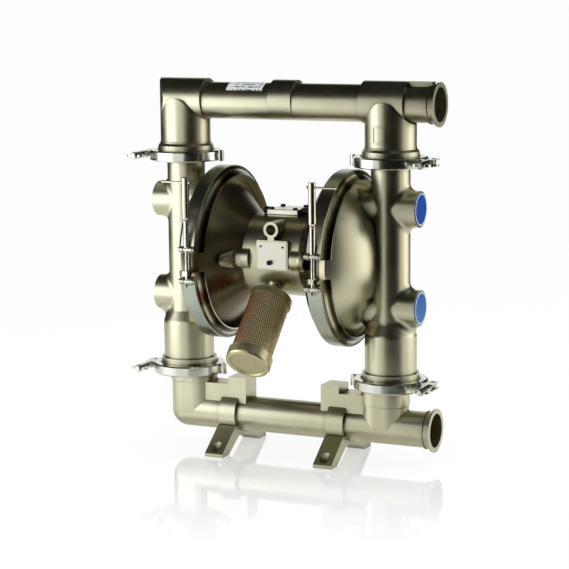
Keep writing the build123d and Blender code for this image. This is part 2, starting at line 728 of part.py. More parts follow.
def diaphragm():
    """Moulded disc with a thick rim between the flanges and one rolled convolution."""
    inner = fluid_plate_radius + 3
    outer = flange_root_radius - 12
    web = 3.0
    crown = (inner + outer) / 2
    return turned_x([
        (diaphragm_x - half_diaphragm, shaft_stud_radius + 0.2), (diaphragm_x - half_diaphragm, inner),
        (diaphragm_x - 7, crown - 8), (diaphragm_x - 7, crown + 8), (diaphragm_x - half_diaphragm, outer),
        (diaphragm_x - half_diaphragm, flange_radius - 1), (diaphragm_x + half_diaphragm, flange_radius - 1),
        (diaphragm_x + half_diaphragm, outer - web / 2), (diaphragm_x - 7 + web, crown + 7),
        (diaphragm_x - 7 + web, crown - 7), (diaphragm_x + half_diaphragm, inner + web / 2),
        (diaphragm_x + half_diaphragm, shaft_stud_radius + 0.2),
    ], diaphragm_axis_z)


# ---------------------------------------------------------------- column clamps
def clamp_ring():
    """Full clamp ring with its V groove, about the vertical axis, centred on height 0."""
    half = clamp_height / 2
    groove_edge = half_gasket + joint_ferrule_edge + seat_clearance
    groove_root = joint_ferrule_radius + seat_clearance
    mouth = groove_edge + flank * (groove_root - clamp_inner_radius)
    return turned_z([
        (clamp_inner_radius, mouth), (clamp_inner_radius, half - 1.5), (clamp_inner_radius + 1.5, half),
        (clamp_radius - 2, half), (clamp_radius, half - 2), (clamp_radius, 2 - half), (clamp_radius - 2, -half),
        (clamp_inner_radius + 1.5, -half), (clamp_inner_radius, 1.5 - half), (clamp_inner_radius, -mouth),
        (groove_root, -groove_edge), (groove_root, groove_edge),
    ])


def clamp_half(front):
    """Half clamp: the front half takes the wing nut, the rear half carries the swing bolt's pin."""
    side = -1 if front else 1
    split = clamp_split / 2
    half = clamp_height / 2
    reach = clamp_ear_end + 20
    y_limits = (-reach, -split) if front else (split, reach)
    ring = clamp_ring()
    ear_y = sorted((side * split, side * clamp_ear_depth))
    ear = block((clamp_radius - 6, clamp_ear_end), ear_y, (3 - half, half - 3))
    ear = fillet(ear.edges().filter_by(Axis.Z).group_by(Axis.X)[-1], 3)
    body = (ring & block((-reach, reach), y_limits, (-half, half))) + ear
    slot = clamp_bolt_radius + 0.5
    eye_slot = bolt_eye_thickness / 2 + free_clearance
    if front:
        body -= block((clamp_bolt_offset - slot, reach), y_limits, (-slot, slot))
    else:
        body -= block((clamp_bolt_offset - bolt_eye_radius - 1.5, reach), y_limits, (-eye_slot, eye_slot))
        body -= rod("z", clamp_pin_radius, -reach, reach, clamp_bolt_offset, clamp_pivot_y)
    hinge_x = -clamp_hinge_radius
    knuckle = half / 2
    barrel = rod("z", clamp_knuckle_radius, -half, half, hinge_x)
    bridge = block((hinge_x, 4 - clamp_radius), sorted((0, side * clamp_knuckle_radius)), (-half, half))
    joint = (barrel + bridge)
    middle = block((hinge_x - 20, hinge_x + 12), (-20, 20), (-knuckle, knuckle))
    gap = block((hinge_x - 20, hinge_x + clamp_knuckle_radius + 0.6), (-20, 20),
                (-knuckle - seat_clearance, knuckle + seat_clearance))
    joint = (joint & middle) if front else (joint - gap)
    body += joint
    if front:
        cheeks = rod("z", clamp_knuckle_radius + 0.6, -half - 1, half + 1, hinge_x)
        body -= cheeks - block((-reach, reach), (-reach, reach), (-knuckle, knuckle))
    else:
        room = knuckle + seat_clearance
        body -= rod("z", clamp_knuckle_radius + 0.6, -room, room, hinge_x)
    return body - rod("z", clamp_pin_radius, -reach, reach, hinge_x)


def clamp_pins():
    half = clamp_height / 2
    hinge = rod("z", clamp_pin_radius, -half - 1, half + 1, -clamp_hinge_radius)
    pivot = rod("z", clamp_pin_radius, 2 - half, half - 2, clamp_bolt_offset, clamp_pivot_y)
    return [hinge, pivot]


def swing_bolt():
    """Eye bolt that swings on its pin in the rear ear and lies in the front ear's slot."""
    end = clamp_pivot_y - clamp_bolt_length
    eye = bolt_eye_thickness / 2
    body = rod("z", bolt_eye_radius, -eye, eye, clamp_bolt_offset, clamp_pivot_y)
    body += rod("y", clamp_bolt_radius, end, clamp_pivot_y, clamp_bolt_offset, 0)
    return body - rod("z", clamp_pin_radius, -20, 20, clamp_bolt_offset, clamp_pivot_y)


def wing_nut():
    """Long-barrelled wing nut drawn up against the front ear."""
    start = -clamp_ear_depth - free_clearance
    end = start - wing_hub_length
    body = rod("y", wing_hub_radius, end, start, clamp_bolt_offset, 0)
    body = chamfer(body.edges().sort_by(Axis.Y)[0], 1.5)
    half_span = wing_span / 2
    centre = end + wing_length / 2
    for side in (-1, 1):
        lobe = Pos(clamp_bolt_offset + side * (half_span - wing_length / 2), centre - 1, 0)
        body += lobe * Cylinder(wing_length / 2, wing_thickness)
        inner = sorted((clamp_bolt_offset, clamp_bolt_offset + side * (half_span - wing_length / 2)))
        body += block(inner, (centre - wing_length / 2 + 1, centre + wing_length / 2 - 3),
                      (-wing_thickness / 2, wing_thickness / 2))
    return body - rod("y", clamp_bolt_radius + running_clearance, end - 20, start + 1, clamp_bolt_offset, 0)


def clamp_gasket():
    """Flat gasket with a raised bead, between two ferrule faces round the seat."""
    outer = joint_ferrule_radius - 0.5
    return tube("z", outer, seat_outer_radius + 0.5, -half_gasket, half_gasket)


def ball_seat(joint_z):
    low = joint_z - half_gasket
    ring = tube("z", seat_outer_radius, seat_bore_radius, low, low + seat_height, column_x)
    return ring - Pos(column_x, 0, ball_centre(joint_z)) * Sphere(ball_radius + free_clearance)


def check_ball(joint_z):
    return Pos(column_x, 0, ball_centre(joint_z)) * Sphere(ball_radius)


# ---------------------------------------------------------------- air section
def air_cover():
    inner_x = housing_half_length + air_cover_disc
    flange_face = diaphragm_x - half_diaphragm
    root_x = flange_face - flange_root
    start = housing_half_length
    middle = (start + root_x) / 2
    step = (start + air_cover_step[0], housing_radius + air_cover_step[1])
    rim_radius = flange_root_radius - air_cover_rim_depth
    outer_middle = (step[1] + flange_root_radius) / 2 - air_cover_arc_sag
    inner_middle = (rim_radius + air_cover_throat_radius) / 2 - chamber_arc_sag
    outline = Plane.XZ * (
        Polyline((start, air_cover_disc_bore), (start, housing_radius), step)
        + ThreePointArc(step, (middle + air_cover_arc_lead, outer_middle), (root_x, flange_root_radius))
        + Polyline(
            (root_x, flange_root_radius), (flange_face - flange_edge, flange_radius),
            (flange_face, flange_radius), (flange_face, rim_radius))
        + ThreePointArc((flange_face, rim_radius), (middle + chamber_arc_lead, inner_middle),
                        (inner_x, air_cover_throat_radius))
        + Polyline((inner_x, air_cover_throat_radius), (inner_x, air_cover_disc_bore),
                   (start, air_cover_disc_bore))
    )
    body = Pos(0, 0, diaphragm_axis_z) * revolve(make_face(outline), Axis.X)
    nose_root = Plane.YZ.offset(housing_half_length + air_cover_disc / 2)
    nose_tip = Plane.YZ.offset(nose_tip_x)
    nose = loft([
        nose_root * Pos(nose_y, diaphragm_axis_z) * Circle(nose_radius),
        nose_tip * Pos(nose_y - nose_tip_shift, diaphragm_axis_z) * Circle(nose_tip_radius),
    ])
    chamber_side = turned_x([
        (inner_x, 0), (inner_x, air_cover_throat_radius + overcut),
        (middle + chamber_arc_lead - overcut, inner_middle + 1.5 * overcut),
        (flange_face + overcut, rim_radius), (flange_face + overcut, 0),
    ], diaphragm_axis_z)
    body += nose - chamber_side
    for index in range(air_cover_bolt_count):
        y, z = bolt_place(index)
        body -= rod("x", air_cover_bolt_radius, start - 1, inner_x + 1, y, z)
    return body - rod("x", pilot_pin_radius + running_clearance, start - 1, inner_x + 1, 0,
                      diaphragm_axis_z + pilot_pin_z)


def bolt_place(index):
    angle = radians(360 / air_cover_bolt_count * (index + 0.5) + 90)
    circle = air_cover_bolt_circle
    return circle * cos(angle), diaphragm_axis_z + circle * sin(angle)


def air_cover_bolts():
    """Screws from inside the air chamber into the housing's end wall."""
    inner_x = housing_half_length + air_cover_disc
    bolts = []
    for index in range(air_cover_bolt_count):
        y, z = bolt_place(index)
        shank = rod("x", air_cover_bolt_radius, housing_half_length - housing_end_wall + 2, inner_x, y, z)
        head_end = inner_x + air_cover_bolt_head_height
        bolts.append(shank + rod("x", air_cover_bolt_head_radius, inner_x, head_end, y, z))
    return bolts


def muffler_plane(distance):
    """Plane across the muffler's axis at a distance from where it leaves the housing."""
    tilt = radians(muffler_tilt)
    origin = (0, muffler_root_y - distance * sin(tilt), muffler_root_z - distance * cos(tilt))
    return Plane(origin=origin, x_dir=(1, 0, 0), z_dir=(0, -sin(tilt), -cos(tilt)))


def along_muffler(points):
    """Solid of revolution about the muffler's axis from (radius, distance) points."""
    profile = make_face(Plane.XZ * Polyline(*points, close=True))
    return muffler_plane(0) * revolve(profile, Axis.Z)


def housing():
    """Centre section: barrel, bearing hub, end walls and cast bosses for air in and out."""
    axis_z = diaphragm_axis_z
    length = housing_half_length
    body = rod("x", housing_radius, -length, length, 0, axis_z)
    for side in (-1, 1):
        limits = sorted((side * lug_start_x, side * length))
        body += rod("x", lug_radius, limits[0], limits[1], nose_y, axis_z)
    body += block((-valve_half_length, valve_half_length), valve_y, (axis_z + valve_block_root, valve_seat_z))
    body += rod("y", inlet_boss_radius, inlet_face_y, front_boss_root_y, inlet_boss_x, inlet_boss_z)
    pad = block(pad_x, (inlet_face_y, front_boss_root_y), pad_z)
    pad = fillet(pad.edges().filter_by(Axis.Y).group_by(Axis.Y)[0], pad_corner)
    half_neck = pad_neck_width / 2
    neck = block((inlet_boss_x - half_neck, inlet_boss_x + half_neck),
                 (inlet_face_y, front_boss_root_y), (pad_z[1] - pad_corner, inlet_boss_z))
    body += pad + neck
    body += along_muffler([(0, -30), (exhaust_boss_radius + 3, -30), (exhaust_boss_radius + 1, 1),
                           (exhaust_boss_radius - 3, 6), (0, 6)])
    inner = length - housing_end_wall
    cavity = rod("x", housing_radius - housing_wall, -inner, inner, 0, axis_z)
    cavity -= rod("x", hub_radius, -inner, inner, 0, axis_z)
    block_floor = housing_radius - valve_block_depth
    keep_walls = block((-valve_half_length, valve_half_length), (-far, far),
                       (axis_z + block_floor, valve_seat_z))
    body -= cavity - keep_walls
    body -= rod("x", bearing_radius, -length - 1, length + 1, 0, axis_z)
    hole_end = inlet_face_y + inlet_hole_depth
    body -= rod("y", inlet_hole_radius, inlet_face_y - overcut, hole_end, inlet_boss_x, inlet_boss_z)
    body -= along_muffler([(0, -26), (muffler_nipple_radius, -26), (muffler_nipple_radius, 7), (0, 7)])
    for side in (-1, 1):
        for index in range(air_cover_bolt_count):
            y, z = bolt_place(index)
            limits = sorted((side * (inner + 2), side * (length + 1)))
            body -= rod("x", air_cover_bolt_radius, limits[0], limits[1], y, z)
        limits = sorted((side * (inner - 1), side * (length + 1)))
        body -= rod("x", pilot_pin_radius + running_clearance, limits[0], limits[1], 0, axis_z + pilot_pin_z)
    for x, z, radius in front_screws():
        body -= rod("y", radius * screw_shank_share, inlet_face_y - 1, inlet_face_y + screw_depth, x, z)
    for x, y in valve_screw_places():
        body -= rod("z", valve_screw_radius, valve_seat_z - 6, valve_seat_z + 1, x, y)
    return body


def front_screws():
    """(x, z, head radius) of the two plate screws and the ground screw on the front pad."""
    inset, drop = plate_screw_inset
    screw_z = pad_z[1] - drop
    return [
        (pad_x[0] + inset, screw_z, plate_screw_radius),
        (pad_x[1] - inset, screw_z, plate_screw_radius),
        (ground_screw_x, ground_screw_z, ground_screw_radius),
    ]


def name_plate():
    """Blank plate on the front pad."""
    margin = plate_margin
    plate = block((pad_x[0] + margin, pad_x[1] - margin), (inlet_face_y - plate_thickness, inlet_face_y),
                  (pad_z[0] + margin, pad_z[1] - margin))
    plate = fillet(plate.edges().filter_by(Axis.Y), 2)
    for x, z, radius in front_screws():
        plate -= rod("y", radius * screw_shank_share, inlet_face_y - 5, inlet_face_y + 1, x, z)
    return plate


def plate_screws():
    screws = []
    face = inlet_face_y - plate_thickness
    for x, z, radius in front_screws():
        head = plate_screw_head if radius < 3 else ground_screw_head
        screw = rod("y", radius, face - head, face, x, z)
        socket = rod("y", radius * 0.45, face - head - 1, face - head * 0.4, x, z)
        shank = rod("y", radius * screw_shank_share, face, inlet_face_y + screw_depth, x, z)
        screws.append(screw - socket + shank)
    return screws


def shaft_bearings():
    outer = housing_half_length
    return [tube("x", bearing_radius, shaft_radius + running_clearance, outer - bearing_length, outer,
                 0, diaphragm_axis_z)]


def diaphragm_shaft():
    end = diaphragm_x - half_diaphragm - air_plate_thickness - seat_clearance
    stud_end = diaphragm_x + half_diaphragm + fluid_plate_thickness * 0.6
    shaft = rod("x", shaft_radius, -end, end, 0, diaphragm_axis_z)
    return shaft + rod("x", shaft_stud_radius, -stud_end, stud_end, 0, diaphragm_axis_z)


def air_plate():
    """Dished plate behind the diaphragm, on the shaft's stud."""
    face = diaphragm_x - half_diaphragm - seat_clearance
    back = face - air_plate_thickness
    return turned_x([
        (back, shaft_stud_radius), (back, air_plate_radius * 0.45),
        (back + 4, air_plate_radius * 0.6),
        (face - 3.5, air_plate_radius), (face, air_plate_radius), (face, shaft_stud_radius),
    ], diaphragm_axis_z)


def fluid_plate():
    """Rounded plate on the fluid side, blind-bored for the shaft's stud."""
    face = diaphragm_x + half_diaphragm + seat_clearance
    end = face + fluid_plate_thickness
    plate = turned_x([
        (face, 0), (face, fluid_plate_radius), (face + 3, fluid_plate_radius),
        (face + 7, fluid_plate_radius * 0.8),
        (end - 1, fluid_plate_radius * 0.35), (end, fluid_plate_radius * 0.2), (end, 0),
    ], diaphragm_axis_z)
    blind_end = face + fluid_plate_thickness * 0.7
    return plate - rod("x", shaft_stud_radius, face - overcut, blind_end, 0, diaphragm_axis_z)


def pilot_pin():
    """Pin that the air plate pushes inwards at the end of its stroke."""
    z = diaphragm_axis_z + pilot_pin_z
    tip = diaphragm_x - half_diaphragm - air_plate_thickness - shaft_stroke - 2 * free_clearance
    stop = housing_half_length - housing_end_wall - free_clearance
    pin = rod("x", pilot_pin_radius, pilot_pin_inner_x, tip, 0, z)
    return pin + rod("x", pilot_pin_collar_radius, stop - pilot_pin_collar, stop, 0, z)


# ---------------------------------------------------------------- air valve
def valve_screw_places():
    inset = valve_screw_inset
    xs = (inset - valve_half_length, valve_half_length - inset)
    ys = (valve_y[0] + inset, valve_y[1] - inset)
    return [(x, y) for x in xs for y in ys]


def valve_gasket():
    z = (valve_seat_z, valve_seat_z + valve_gasket_thickness)
    gasket = block((-valve_half_length, valve_half_length), valve_y, z)
    for x, y in valve_screw_places():
        gasket -= rod("z", valve_screw_radius, z[0] - 1, z[1] + 1, x, y)
    return gasket


def valve_body():
    low = valve_seat_z + valve_gasket_thickness
    top = low + valve_body_height
    body = block((-valve_half_length, valve_half_length), valve_y, (low, top))
    body = chamfer(body.faces().sort_by(Axis.Z)[-1].edges(), 1)
    body -= rod("x", valve_bore_radius, -100, 100, valve_axis_y, valve_axis_z)
    for x, y in valve_screw_places():
        body -= rod("z", valve_screw_radius, low - 1, top + 1, x, y)
    return body


def valve_caps():
    caps = []
    for side in (-1, 1):
        limits = sorted((side * valve_half_length, side * (valve_half_length + valve_cap_length)))
        cap = rod("x", valve_cap_radius, limits[0], limits[1], valve_axis_y, valve_axis_z)
        outer_edge = cap.edges().sort_by(Axis.X)[0 if side < 0 else -1]
        caps.append(fillet(outer_edge, 2.5))
    return caps


def valve_screws():
    top = valve_seat_z + valve_gasket_thickness + valve_body_height
    screws = []
    for x, y in valve_screw_places():
        head = rod("z", valve_screw_head_radius, top, top + valve_screw_head_height, x, y)
        head -= rod("z", valve_screw_head_radius * 0.5, top + 1.6, top + 10, x, y)
        screws.append(head + rod("z", valve_screw_radius, valve_seat_z - 6, top, x, y))
    return screws


def valve_spool():
    radius = valve_bore_radius - running_clearance
    waist = radius - spool_groove_depth
    half = valve_half_length - spool_travel - spool_end_room
    spool = rod("x", waist, -half, half, valve_axis_y, valve_axis_z)
    for centre in (-half + 4, 0, half - 4):
        spool += rod("x", radius, centre - 4, centre + 4, valve_axis_y, valve_axis_z)
    return spool


# ---------------------------------------------------------------- muffler
def muffler_head():
    start = muffler_head_start
    end = start + muffler_head_length
    radius = muffler_head_radius
    sleeve = muffler_sleeve_radius
    nipple = muffler_nipple_radius
    return along_muffler([
        (5, -18), (nipple, -18), (nipple, 7), (nipple + 3, 7), (nipple + 3, 13), (nipple + 5, start - 3),
        (radius - 8, start), (radius - 2, start + 1.5), (radius, start + 4), (radius, end),
        (sleeve, end), (sleeve, start + 4), (5, start + 4),
    ])


def muffler_sleeve():
    start = muffler_head_start + 4
    end = muffler_head_start + muffler_head_length + muffler_sleeve_length + 6
    outer = muffler_sleeve_radius
    inner = outer - muffler_sleeve_wall
    return along_muffler([(inner, start), (outer, start), (outer, end), (inner, end)])


def muffler_core():
    """Porous element held between the head and the end cap."""
    start = muffler_head_start + 4
    end = muffler_head_start + muffler_head_length + muffler_sleeve_length + 6
    outer = muffler_core_radius
    return along_muffler([(outer - 6, start), (outer, start), (outer, end), (outer - 6, end)])


def muffler_end_cap():
    start = muffler_head_start + muffler_head_length + muffler_sleeve_length
    end = start + muffler_cap_length
    radius = muffler_cap_radius
    sleeve = muffler_sleeve_radius
    recess = muffler_cap_recess
    return along_muffler([
        (sleeve, start), (radius - 1.5, start), (radius, start + 1.5), (radius, end - 5),
        (radius - 1.5, end - 1.5),
        (radius - 5, end), (radius - 8, end), (radius - 10, end - recess), (0, end - recess),
        (0, start + 6), (sleeve, start + 6),
    ])


def badges():
    """Round plates on the port-side bosses' ends."""
    discs = []
    for z in (upper_boss_z, lower_boss_z):
        disc = rod("x", badge_radius, boss_end_x, boss_end_x + badge_thickness, 0, z)
        discs.append(fillet(disc.edges().sort_by(Axis.X)[-1], 0.5))
    return discs


# ---------------------------------------------------------------- write the nodes
def save_pair(name, shape):
    """One node for each side of the pump."""
    save("right_" + name, shape)
    save("left_" + name, left_of(shape))


def save_both(name, shapes):
    """One node that holds both sides' copies."""
    save(name, *shapes, *[left_of(shape) for shape in shapes])


os.makedirs("parts", exist_ok=True)

save("outlet_manifold", outlet_manifold())
save("inlet_manifold", inlet_manifold())
save_pair("foot_saddle", foot_saddle())
save_pair("fluid_cover", fluid_cover())
save_pair("air_cover", air_cover())
save_pair("band_strap", clamp_band_strap())
save_pair("band_segments", clamp_band_segments())
save_both("band_trunnions", trunnions())
save_both("band_bolts", [t_bolt()])
save_pair("t_nut", t_nut())
save_pair("t_bar", t_bar())
save_pair("diaphragm", diaphragm())
save_pair("pilot_pin", pilot_pin())

save("center_housing", housing())
save_both("shaft_bearings", shaft_bearings())
save_both("air_cover_bolts", air_cover_bolts())
save("name_plate", name_plate())
save("plate_screws", *plate_screws())

save("diaphragm_shaft", diaphragm_shaft())
save_both("air_plates", [air_plate()])
save_both("fluid_plates", [fluid_plate()])

save("valve_gasket", valve_gasket())
save("valve_body", valve_body())
save("valve_caps", *valve_caps())
save("valve_screws", *valve_screws())
save("valve_spool", valve_spool())

save("muffler_head", muffler_head())
save("muffler_sleeve", muffler_sleeve())
save("muffler_core", muffler_core())
save("muffler_end_cap", muffler_end_cap())
save("badges", *badges())

joints = {"upper": upper_joint_z, "lower": lower_joint_z}
pins = []
bolts = []
gaskets = []
seats = []
for level, joint_z in joints.items():
    place = Pos(column_x, 0, joint_z)
    save_pair(level + "_clamp_front", place * clamp_half(True))
    save_pair(level + "_clamp_rear", place * clamp_half(False))
    save_pair(level + "_wing_nut", place * wing_nut())
    save_pair(level + "_ball", check_ball(joint_z))
    pins += [place * pin for pin in clamp_pins()]
    bolts.append(place * swing_bolt())
    gaskets.append(place * clamp_gasket())
    seats.append(ball_seat(joint_z))
save_both("clamp_pins", pins)
save_both("swing_bolts", bolts)
save_both("clamp_gaskets", gaskets)
save_both("ball_seats", seats)
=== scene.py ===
import math

import bmesh
import bpy
from mathutils import Matrix, Vector


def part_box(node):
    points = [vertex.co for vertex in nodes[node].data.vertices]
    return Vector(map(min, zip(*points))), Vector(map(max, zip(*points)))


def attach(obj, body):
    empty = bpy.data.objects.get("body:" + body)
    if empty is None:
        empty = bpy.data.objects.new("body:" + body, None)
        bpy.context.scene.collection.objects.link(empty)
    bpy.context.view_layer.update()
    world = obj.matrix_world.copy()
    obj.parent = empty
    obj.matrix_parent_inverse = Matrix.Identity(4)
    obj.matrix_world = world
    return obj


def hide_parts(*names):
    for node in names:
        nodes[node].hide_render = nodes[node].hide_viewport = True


# Air operated double diaphragm pump in cast stainless steel. Metres, in the frame's own axes.
# The solids come from the frame. This script gives them their finishes, and adds the perforated
# sleeve, the bolts' threads, the badges' rims, the label, the air covers' noses and a cast frame.

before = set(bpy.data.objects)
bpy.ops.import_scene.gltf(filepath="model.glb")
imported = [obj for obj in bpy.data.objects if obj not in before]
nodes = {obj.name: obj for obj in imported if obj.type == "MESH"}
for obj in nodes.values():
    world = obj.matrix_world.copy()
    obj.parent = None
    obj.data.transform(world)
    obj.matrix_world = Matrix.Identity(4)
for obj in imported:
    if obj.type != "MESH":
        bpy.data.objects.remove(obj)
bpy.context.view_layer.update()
MM = 0.001
SIDES = ("left", "right")
LEVELS = ("upper", "lower")


def centre_of(node):
    low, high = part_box(node)
    return (low + high) / 2


# ---------------------------------------------------------------- places that the frame gives
COLUMN_X = centre_of("right_upper_ball").x
DIAPHRAGM_AXIS_Z = centre_of("shaft_bearings").z

# ---------------------------------------------------------------- sizes that it doesn't give
MUFFLER_TILT = math.radians(45.0)
SLEEVE_WALL = 1.2 * MM
HOLES_AROUND = 52
SEAM_GAP = 0.02 * MM         # points closer than this are one
HOLE_SHARE = 0.4             # hole's radius as a share of the pitch between holes

BAND_BOLT_RADIUS, BAND_THREAD_PITCH = 3.0 * MM, 1.0 * MM
BAND_BOLT_SHANK = 2.0 * MM   # plain shank past the middle of the bolt's bare length
CLAMP_BOLT_RADIUS, CLAMP_THREAD_PITCH = 4.0 * MM, 1.25 * MM
THREAD_RUN_OUT = 0.4         # of a pitch, between a wing nut and the first ridge
RIDGE_SHARE = 0.36           # thread ridge's radius as a share of the pitch

RIM_SHARES = (0.88, 0.985)   # inner and outer radius of a badge's rim, as shares of the badge's
RIM_PROUD, RIM_SINK = 0.5 * MM, 0.2 * MM

OUTLET_PIPE_RADIUS = 32.7 * MM
OUTLET_AXIS_Z = 633.5 * MM
LABEL_X = (-104.0 * MM, -34.0 * MM)
LABEL_ARC = (37.0, 82.0)     # degrees above the horizon, on the front of the pipe
LABEL_LIFTS = (0.12 * MM, 0.32 * MM)   # back and face of the film, above the pipe

# Rings of a nose from its root outwards: mm along X, mm along Y, radius in mm.
NOSE_RINGS = ((54.2, -61.0, 19.4), (63.0, -62.5, 19.4), (64.0, -77.0, 18.0), (77.0, -98.0, 12.4),
              (79.4, -101.6, 11.0), (80.4, -103.0, 8.6))
NOSE_EDGE = math.radians(38.0)         # edges sharper than this stay crisp

PAD_RADIUS = 46.2 * MM
PAD_CENTRE = (195.0 * MM, 582.0 * MM)
PAD_FRAME = (11.6 * MM, 14.2 * MM, 1.5 * MM)   # half width, half height and width of its bars
PAD_SINK, PAD_LIFT = 0.3 * MM, 1.1 * MM        # depth and height of a bar from the pad's face


# ---------------------------------------------------------------- colour and node helpers
def colour(hex_code):
    """Linear colour from an sRGB hex value."""
    channels = [int(hex_code[i:i + 2], 16) / 255 for i in (1, 3, 5)]
    return tuple(c / 12.92 if c <= 0.04045 else ((c + 0.055) / 1.055) ** 2.4 for c in channels) + (1.0,)


MIX_A, MIX_B, MIX_RESULT = 6, 7, 2     # colour sockets of the Mix node, whose names occur twice


def add(tree, kind, links=None, **settings):
    """Adds a node. links maps an input's name or number to a value or to another node's socket."""
    node = tree.nodes.new(kind)
    for key, value in settings.items():
        setattr(node, key, value)
    for key, value in (links or {}).items():
        socket = node.inputs[key]
        if isinstance(value, bpy.types.NodeSocket):
            tree.links.new(value, socket)
        else:
            socket.default_value = value
    return node


def start(name, metallic):
    """A new material with its shader, and its object coordinates."""
    material = bpy.data.materials.new(name)
    material.use_nodes = True
    tree = material.node_tree
    shader = tree.nodes["Principled BSDF"]
    shader.inputs["Metallic"].default_value = metallic
    place = add(tree, "ShaderNodeTexCoord").outputs["Object"]
    return material, tree, shader, place


DRIFT_RANGE = (0.3, 0.7)               # where nearly all of a noise's values lie
PAINTED_SHADE_STRENGTH = 0.75


def surface(tree, shader, place, tone, patch, rough, grain, depth, stretch=(1, 1, 1), painted_shade_reach=None):
    """Colour and roughness that drift over patches, and a fine grain in the normal. Sizes in metres.

    tone is a pair of colours to drift between, or the socket of a colour made elsewhere. The last
    argument is how far apart two faces may stand for painted shade to darken the gap between them."""
    drift = add(tree, "ShaderNodeTexNoise", {"Vector": place, "Scale": 1 / patch, "Detail": 4.0}).outputs[0]
    if isinstance(tone, tuple):
        tone = add(tree, "ShaderNodeMix", {"Factor": drift, MIX_A: colour(tone[0]), MIX_B: colour(tone[1])},
                   data_type="RGBA").outputs[MIX_RESULT]
    # Painted shade: ambient occlusion darkens the colour in gaps and corners between faces.
    if painted_shade_reach:
        shade = add(tree, "ShaderNodeAmbientOcclusion", {"Distance": painted_shade_reach}, samples=6).outputs[0]
        tone = add(tree, "ShaderNodeMix", {"Factor": PAINTED_SHADE_STRENGTH, MIX_A: tone, MIX_B: shade},
                   data_type="RGBA", blend_type="MULTIPLY").outputs[MIX_RESULT]
    tree.links.new(tone, shader.inputs["Base Color"])
    level = add(tree, "ShaderNodeMapRange", {"Value": drift, "From Min": DRIFT_RANGE[0],
                                             "From Max": DRIFT_RANGE[1],
                                             "To Min": rough[0], "To Max": rough[1]}).outputs[0]
    tree.links.new(level, shader.inputs["Roughness"])
    scaled = add(tree, "ShaderNodeMapping", {"Vector": place, "Scale": stretch}).outputs[0]
    fine = add(tree, "ShaderNodeTexNoise", {"Vector": scaled, "Scale": 1 / grain, "Detail": 3.0}).outputs[0]
    bump = add(tree, "ShaderNodeBump", {"Height": fine, "Strength": 0.5, "Distance": depth}).outputs[0]
    tree.links.new(bump, shader.inputs["Normal"])


# ---------------------------------------------------------------- finishes
def cast_stainless():
    """Investment cast stainless, bead blasted: a warm satin with wide soft streaks of light.

    Real bead marks are about 0.15 mm; they are drawn at 0.7 mm so that they show."""
    material, tree, shader, place = start("cast_stainless", 1.0)
    surface(tree, shader, place, ("#b1ad8f", "#cdc9ac"), patch=45 * MM, rough=(0.30, 0.38),
            grain=0.7 * MM, depth=0.04 * MM, painted_shade_reach=14 * MM)
    return material


def machined_cover_painted_shade():
    """Air covers, machined after casting: smoother, so they mirror the studio, and darker, which is painted
    shade.
    """
    material, tree, shader, place = start("machined_cover_painted_shade", 1.0)
    surface(tree, shader, place, ("#6a6148", "#82785b"), patch=60 * MM, rough=(0.26, 0.33),
            grain=0.8 * MM, depth=0.02 * MM, painted_shade_reach=20 * MM)
    return material


def electropolished():
    """Electropolished clamp castings: bright, nearly mirror, with a slight orange peel."""
    material, tree, shader, place = start("electropolished", 1.0)
    surface(tree, shader, place, ("#c3c5b9", "#dcddd0"), patch=20 * MM, rough=(0.17, 0.24),
            grain=3 * MM, depth=0.03 * MM, painted_shade_reach=6 * MM)
    return material


def rolled_strip():
    """Rolled stainless strip: cool grey green satin, grained along the rolling direction."""
    material, tree, shader, place = start("rolled_strip", 1.0)
    surface(tree, shader, place, ("#a4ab99", "#bdc3b1"), patch=50 * MM, rough=(0.27, 0.34),
            grain=0.6 * MM, depth=0.03 * MM, stretch=(1.0, 0.08, 0.08))
    return material


SEGMENT_RADII = (138.0 * MM, 154.0 * MM)   # of the inner lip and of the outer edge
SEGMENT_PAINTED_LIGHT = (
    (0.1, "#d0caac"), (0.14, "#2d2719"),                       # painted highlight on the trimmed inner lip, then its painted shadow
    (0.4, "#3f3726"), (0.46, "#6d6449"),                       # inner flank in painted shade, lighter up to the bend
    (0.62, "#cfc9aa"), (0.72, "#b5ae8c"), (0.78, "#3a3323"),   # painted highlight on the bend, then the outer flank in painted shade
)


def formed_segment_painted_light():
    """Roll formed V segments: painted shade on the flanks between painted highlights where the strip was
    bent and trimmed.
    """
    material, tree, shader, place = start("formed_segment_painted_light", 1.0)
    parts = add(tree, "ShaderNodeSeparateXYZ", {0: place}).outputs
    height = add(tree, "ShaderNodeMath", {0: parts[2], 1: DIAPHRAGM_AXIS_Z}, operation="SUBTRACT").outputs[0]
    flat = add(tree, "ShaderNodeCombineXYZ", {0: parts[1], 1: height}).outputs[0]
    radius = add(tree, "ShaderNodeVectorMath", {0: flat}, operation="LENGTH").outputs["Value"]
    level = add(tree, "ShaderNodeMapRange", {"Value": radius, "From Min": SEGMENT_RADII[0],
                                             "From Max": SEGMENT_RADII[1]}).outputs[0]
    # Painted light in rings round the diaphragm axis: highlights on the lip and the bend, shade on the
    # flanks.
    ramp = add(tree, "ShaderNodeValToRGB", {0: level})
    stops = ramp.color_ramp.elements
    stops[0].color, stops[1].color = colour("#d9d3b6"), colour("#8f886c")
    for position, tone in SEGMENT_PAINTED_LIGHT:
        stops.new(position).color = colour(tone)
    surface(tree, shader, place, ramp.outputs[0], patch=30 * MM, rough=(0.18, 0.26),
            grain=0.8 * MM, depth=0.02 * MM)
    return material


def turned_steel():
    """Turned stainless bar: pale and bright, with rings left by the tool."""
    material, tree, shader, place = start("turned_steel", 1.0)
    surface(tree, shader, place, ("#c9beac", "#e2d9c8"), patch=20 * MM, rough=(0.16, 0.26),
            grain=0.5 * MM, depth=0.02 * MM, stretch=(0.1, 0.1, 1.0))
    return material


